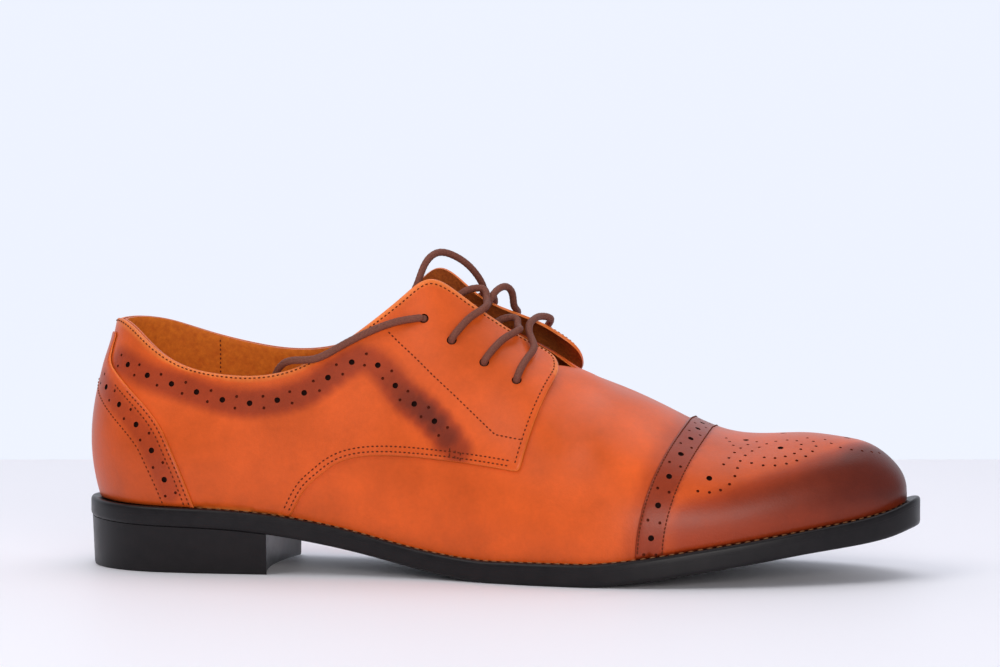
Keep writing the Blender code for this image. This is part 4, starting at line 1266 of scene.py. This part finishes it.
def make_lining_seam():
    """A seam up each side of the collar's lining."""
    rows = []
    rise = np.linspace(*LINING_RISES, LINING_STEPS)
    for side in SIDES:
        points, deeper = (skin(turn(LINING_SEAM), rise, side, -WALL - depth) for depth in (STITCH_UP, 1.0))
        along = lengths(points)
        count = round(along[-1] / STITCH_PITCH)
        points, inward = (parted(along, run, count) for run in (points, deeper - points))
        rows.append(stitches(points, inward, STITCH_SHARE, STITCH_RADIUS))
    return rows


# Floor and light, in metres
FLOOR_FRONT, FLOOR_BACK, FLOOR_HALF = 4.0, 0.42, 5.0
BACKDROP, BACKDROP_HEIGHT, COVE, COVE_STEPS = 2.4, 5.0, 0.3, 9
FLOOR_FINISH = {"Base Color": (0.90, 0.88, 0.922, 1), "Roughness": 0.55}
BACKDROP_FINISH = {
    "Base Color": (0.03, 0.03, 0.03, 1), "Roughness": 1.0, "Specular IOR Level": 0.0,
    "Emission Color": (0.84, 0.88, 0.985, 1), "Emission Strength": 1.0}
SKY = {"Color": (0.86, 0.91, 1.0, 1), "Strength": 0.36}
LIGHTS = {  # place, aim, size, power and colour
    "window": ((-0.65, -0.55, 1.05), (0.0, 0.0, 0.03), (0.9, 0.7), 5.2, (1.0, 0.97, 0.95)),
    "overhead": ((0.1, 0.3, 1.15), (0.0, 0.1, 0.0), (1.2, 0.9), 5.1, (0.94, 0.96, 1.0)),
    "front": ((0.6, -1.7, 0.5), (0.05, 0.0, 0.04), (1.1, 0.6), 15.0, (1.0, 0.96, 0.93))}


def make_stage():
    """A floor that turns to the backdrop's finish behind the shoe; the backdrop stands beyond any camera."""
    mesh = bpy.data.meshes.new("floor")
    for name, finish in (("pale_floor", FLOOR_FINISH), ("pale_backdrop", BACKDROP_FINISH)):
        made, _, body = shader(name)
        feed(body, finish)
        mesh.materials.append(made)
    turns = np.linspace(-np.pi / 2, 0, COVE_STEPS)
    profile = [(-FLOOR_FRONT, 0.0), (FLOOR_BACK, 0.0)]
    profile += [(BACKDROP - COVE + COVE * np.cos(t), COVE + COVE * np.sin(t)) for t in turns]
    profile.append((BACKDROP, BACKDROP_HEIGHT))
    points = [(x, y, z) for y, z in profile for x in (-FLOOR_HALF, FLOOR_HALF)]
    faces = [(2 * k, 2 * k + 1, 2 * k + 3, 2 * k + 2) for k in range(len(profile) - 1)]
    mesh.from_pydata(points, [], faces)
    for polygon in mesh.polygons[1:]:
        polygon.material_index = 1
    mesh.shade_smooth()
    floor = put("floor", mesh)
    floor.rotation_euler = (0, 0, np.radians(CAMERA_AZIMUTH))


def area_light(name, place, aim, size, power, colour):
    data = bpy.data.lights.new(name, "AREA")
    data.shape = "RECTANGLE"
    data.size, data.size_y = size
    data.energy = power
    data.color = colour
    light = put(name, data)
    light.location = place
    light.rotation_euler = (Vector(aim) - Vector(place)).to_track_quat("-Z", "Y").to_euler()


def make_light():
    for name, values in LIGHTS.items():
        area_light(name, *values)
    world = bpy.data.worlds.new("studio")
    world.use_nodes = True
    feed(world.node_tree.nodes["Background"], SKY)
    bpy.context.scene.world = world
    bpy.context.scene.view_settings.view_transform = "Standard"


def make_shoe():
    make_camera()
    make_lace_ends()
    make_laces()
    make_sole()
    make_heel()
    make_upper()
    make_tongue()
    seams = make_quarter(LATERAL) + make_quarter(MEDIAL)
    seams += make_toe_cap() + make_counter() + make_lining_seam()
    piece("seam_stitches", *joined(seams), [THREAD], "leather")
    make_welt_stitches()
    make_stage()
    make_light()


make_shoe()
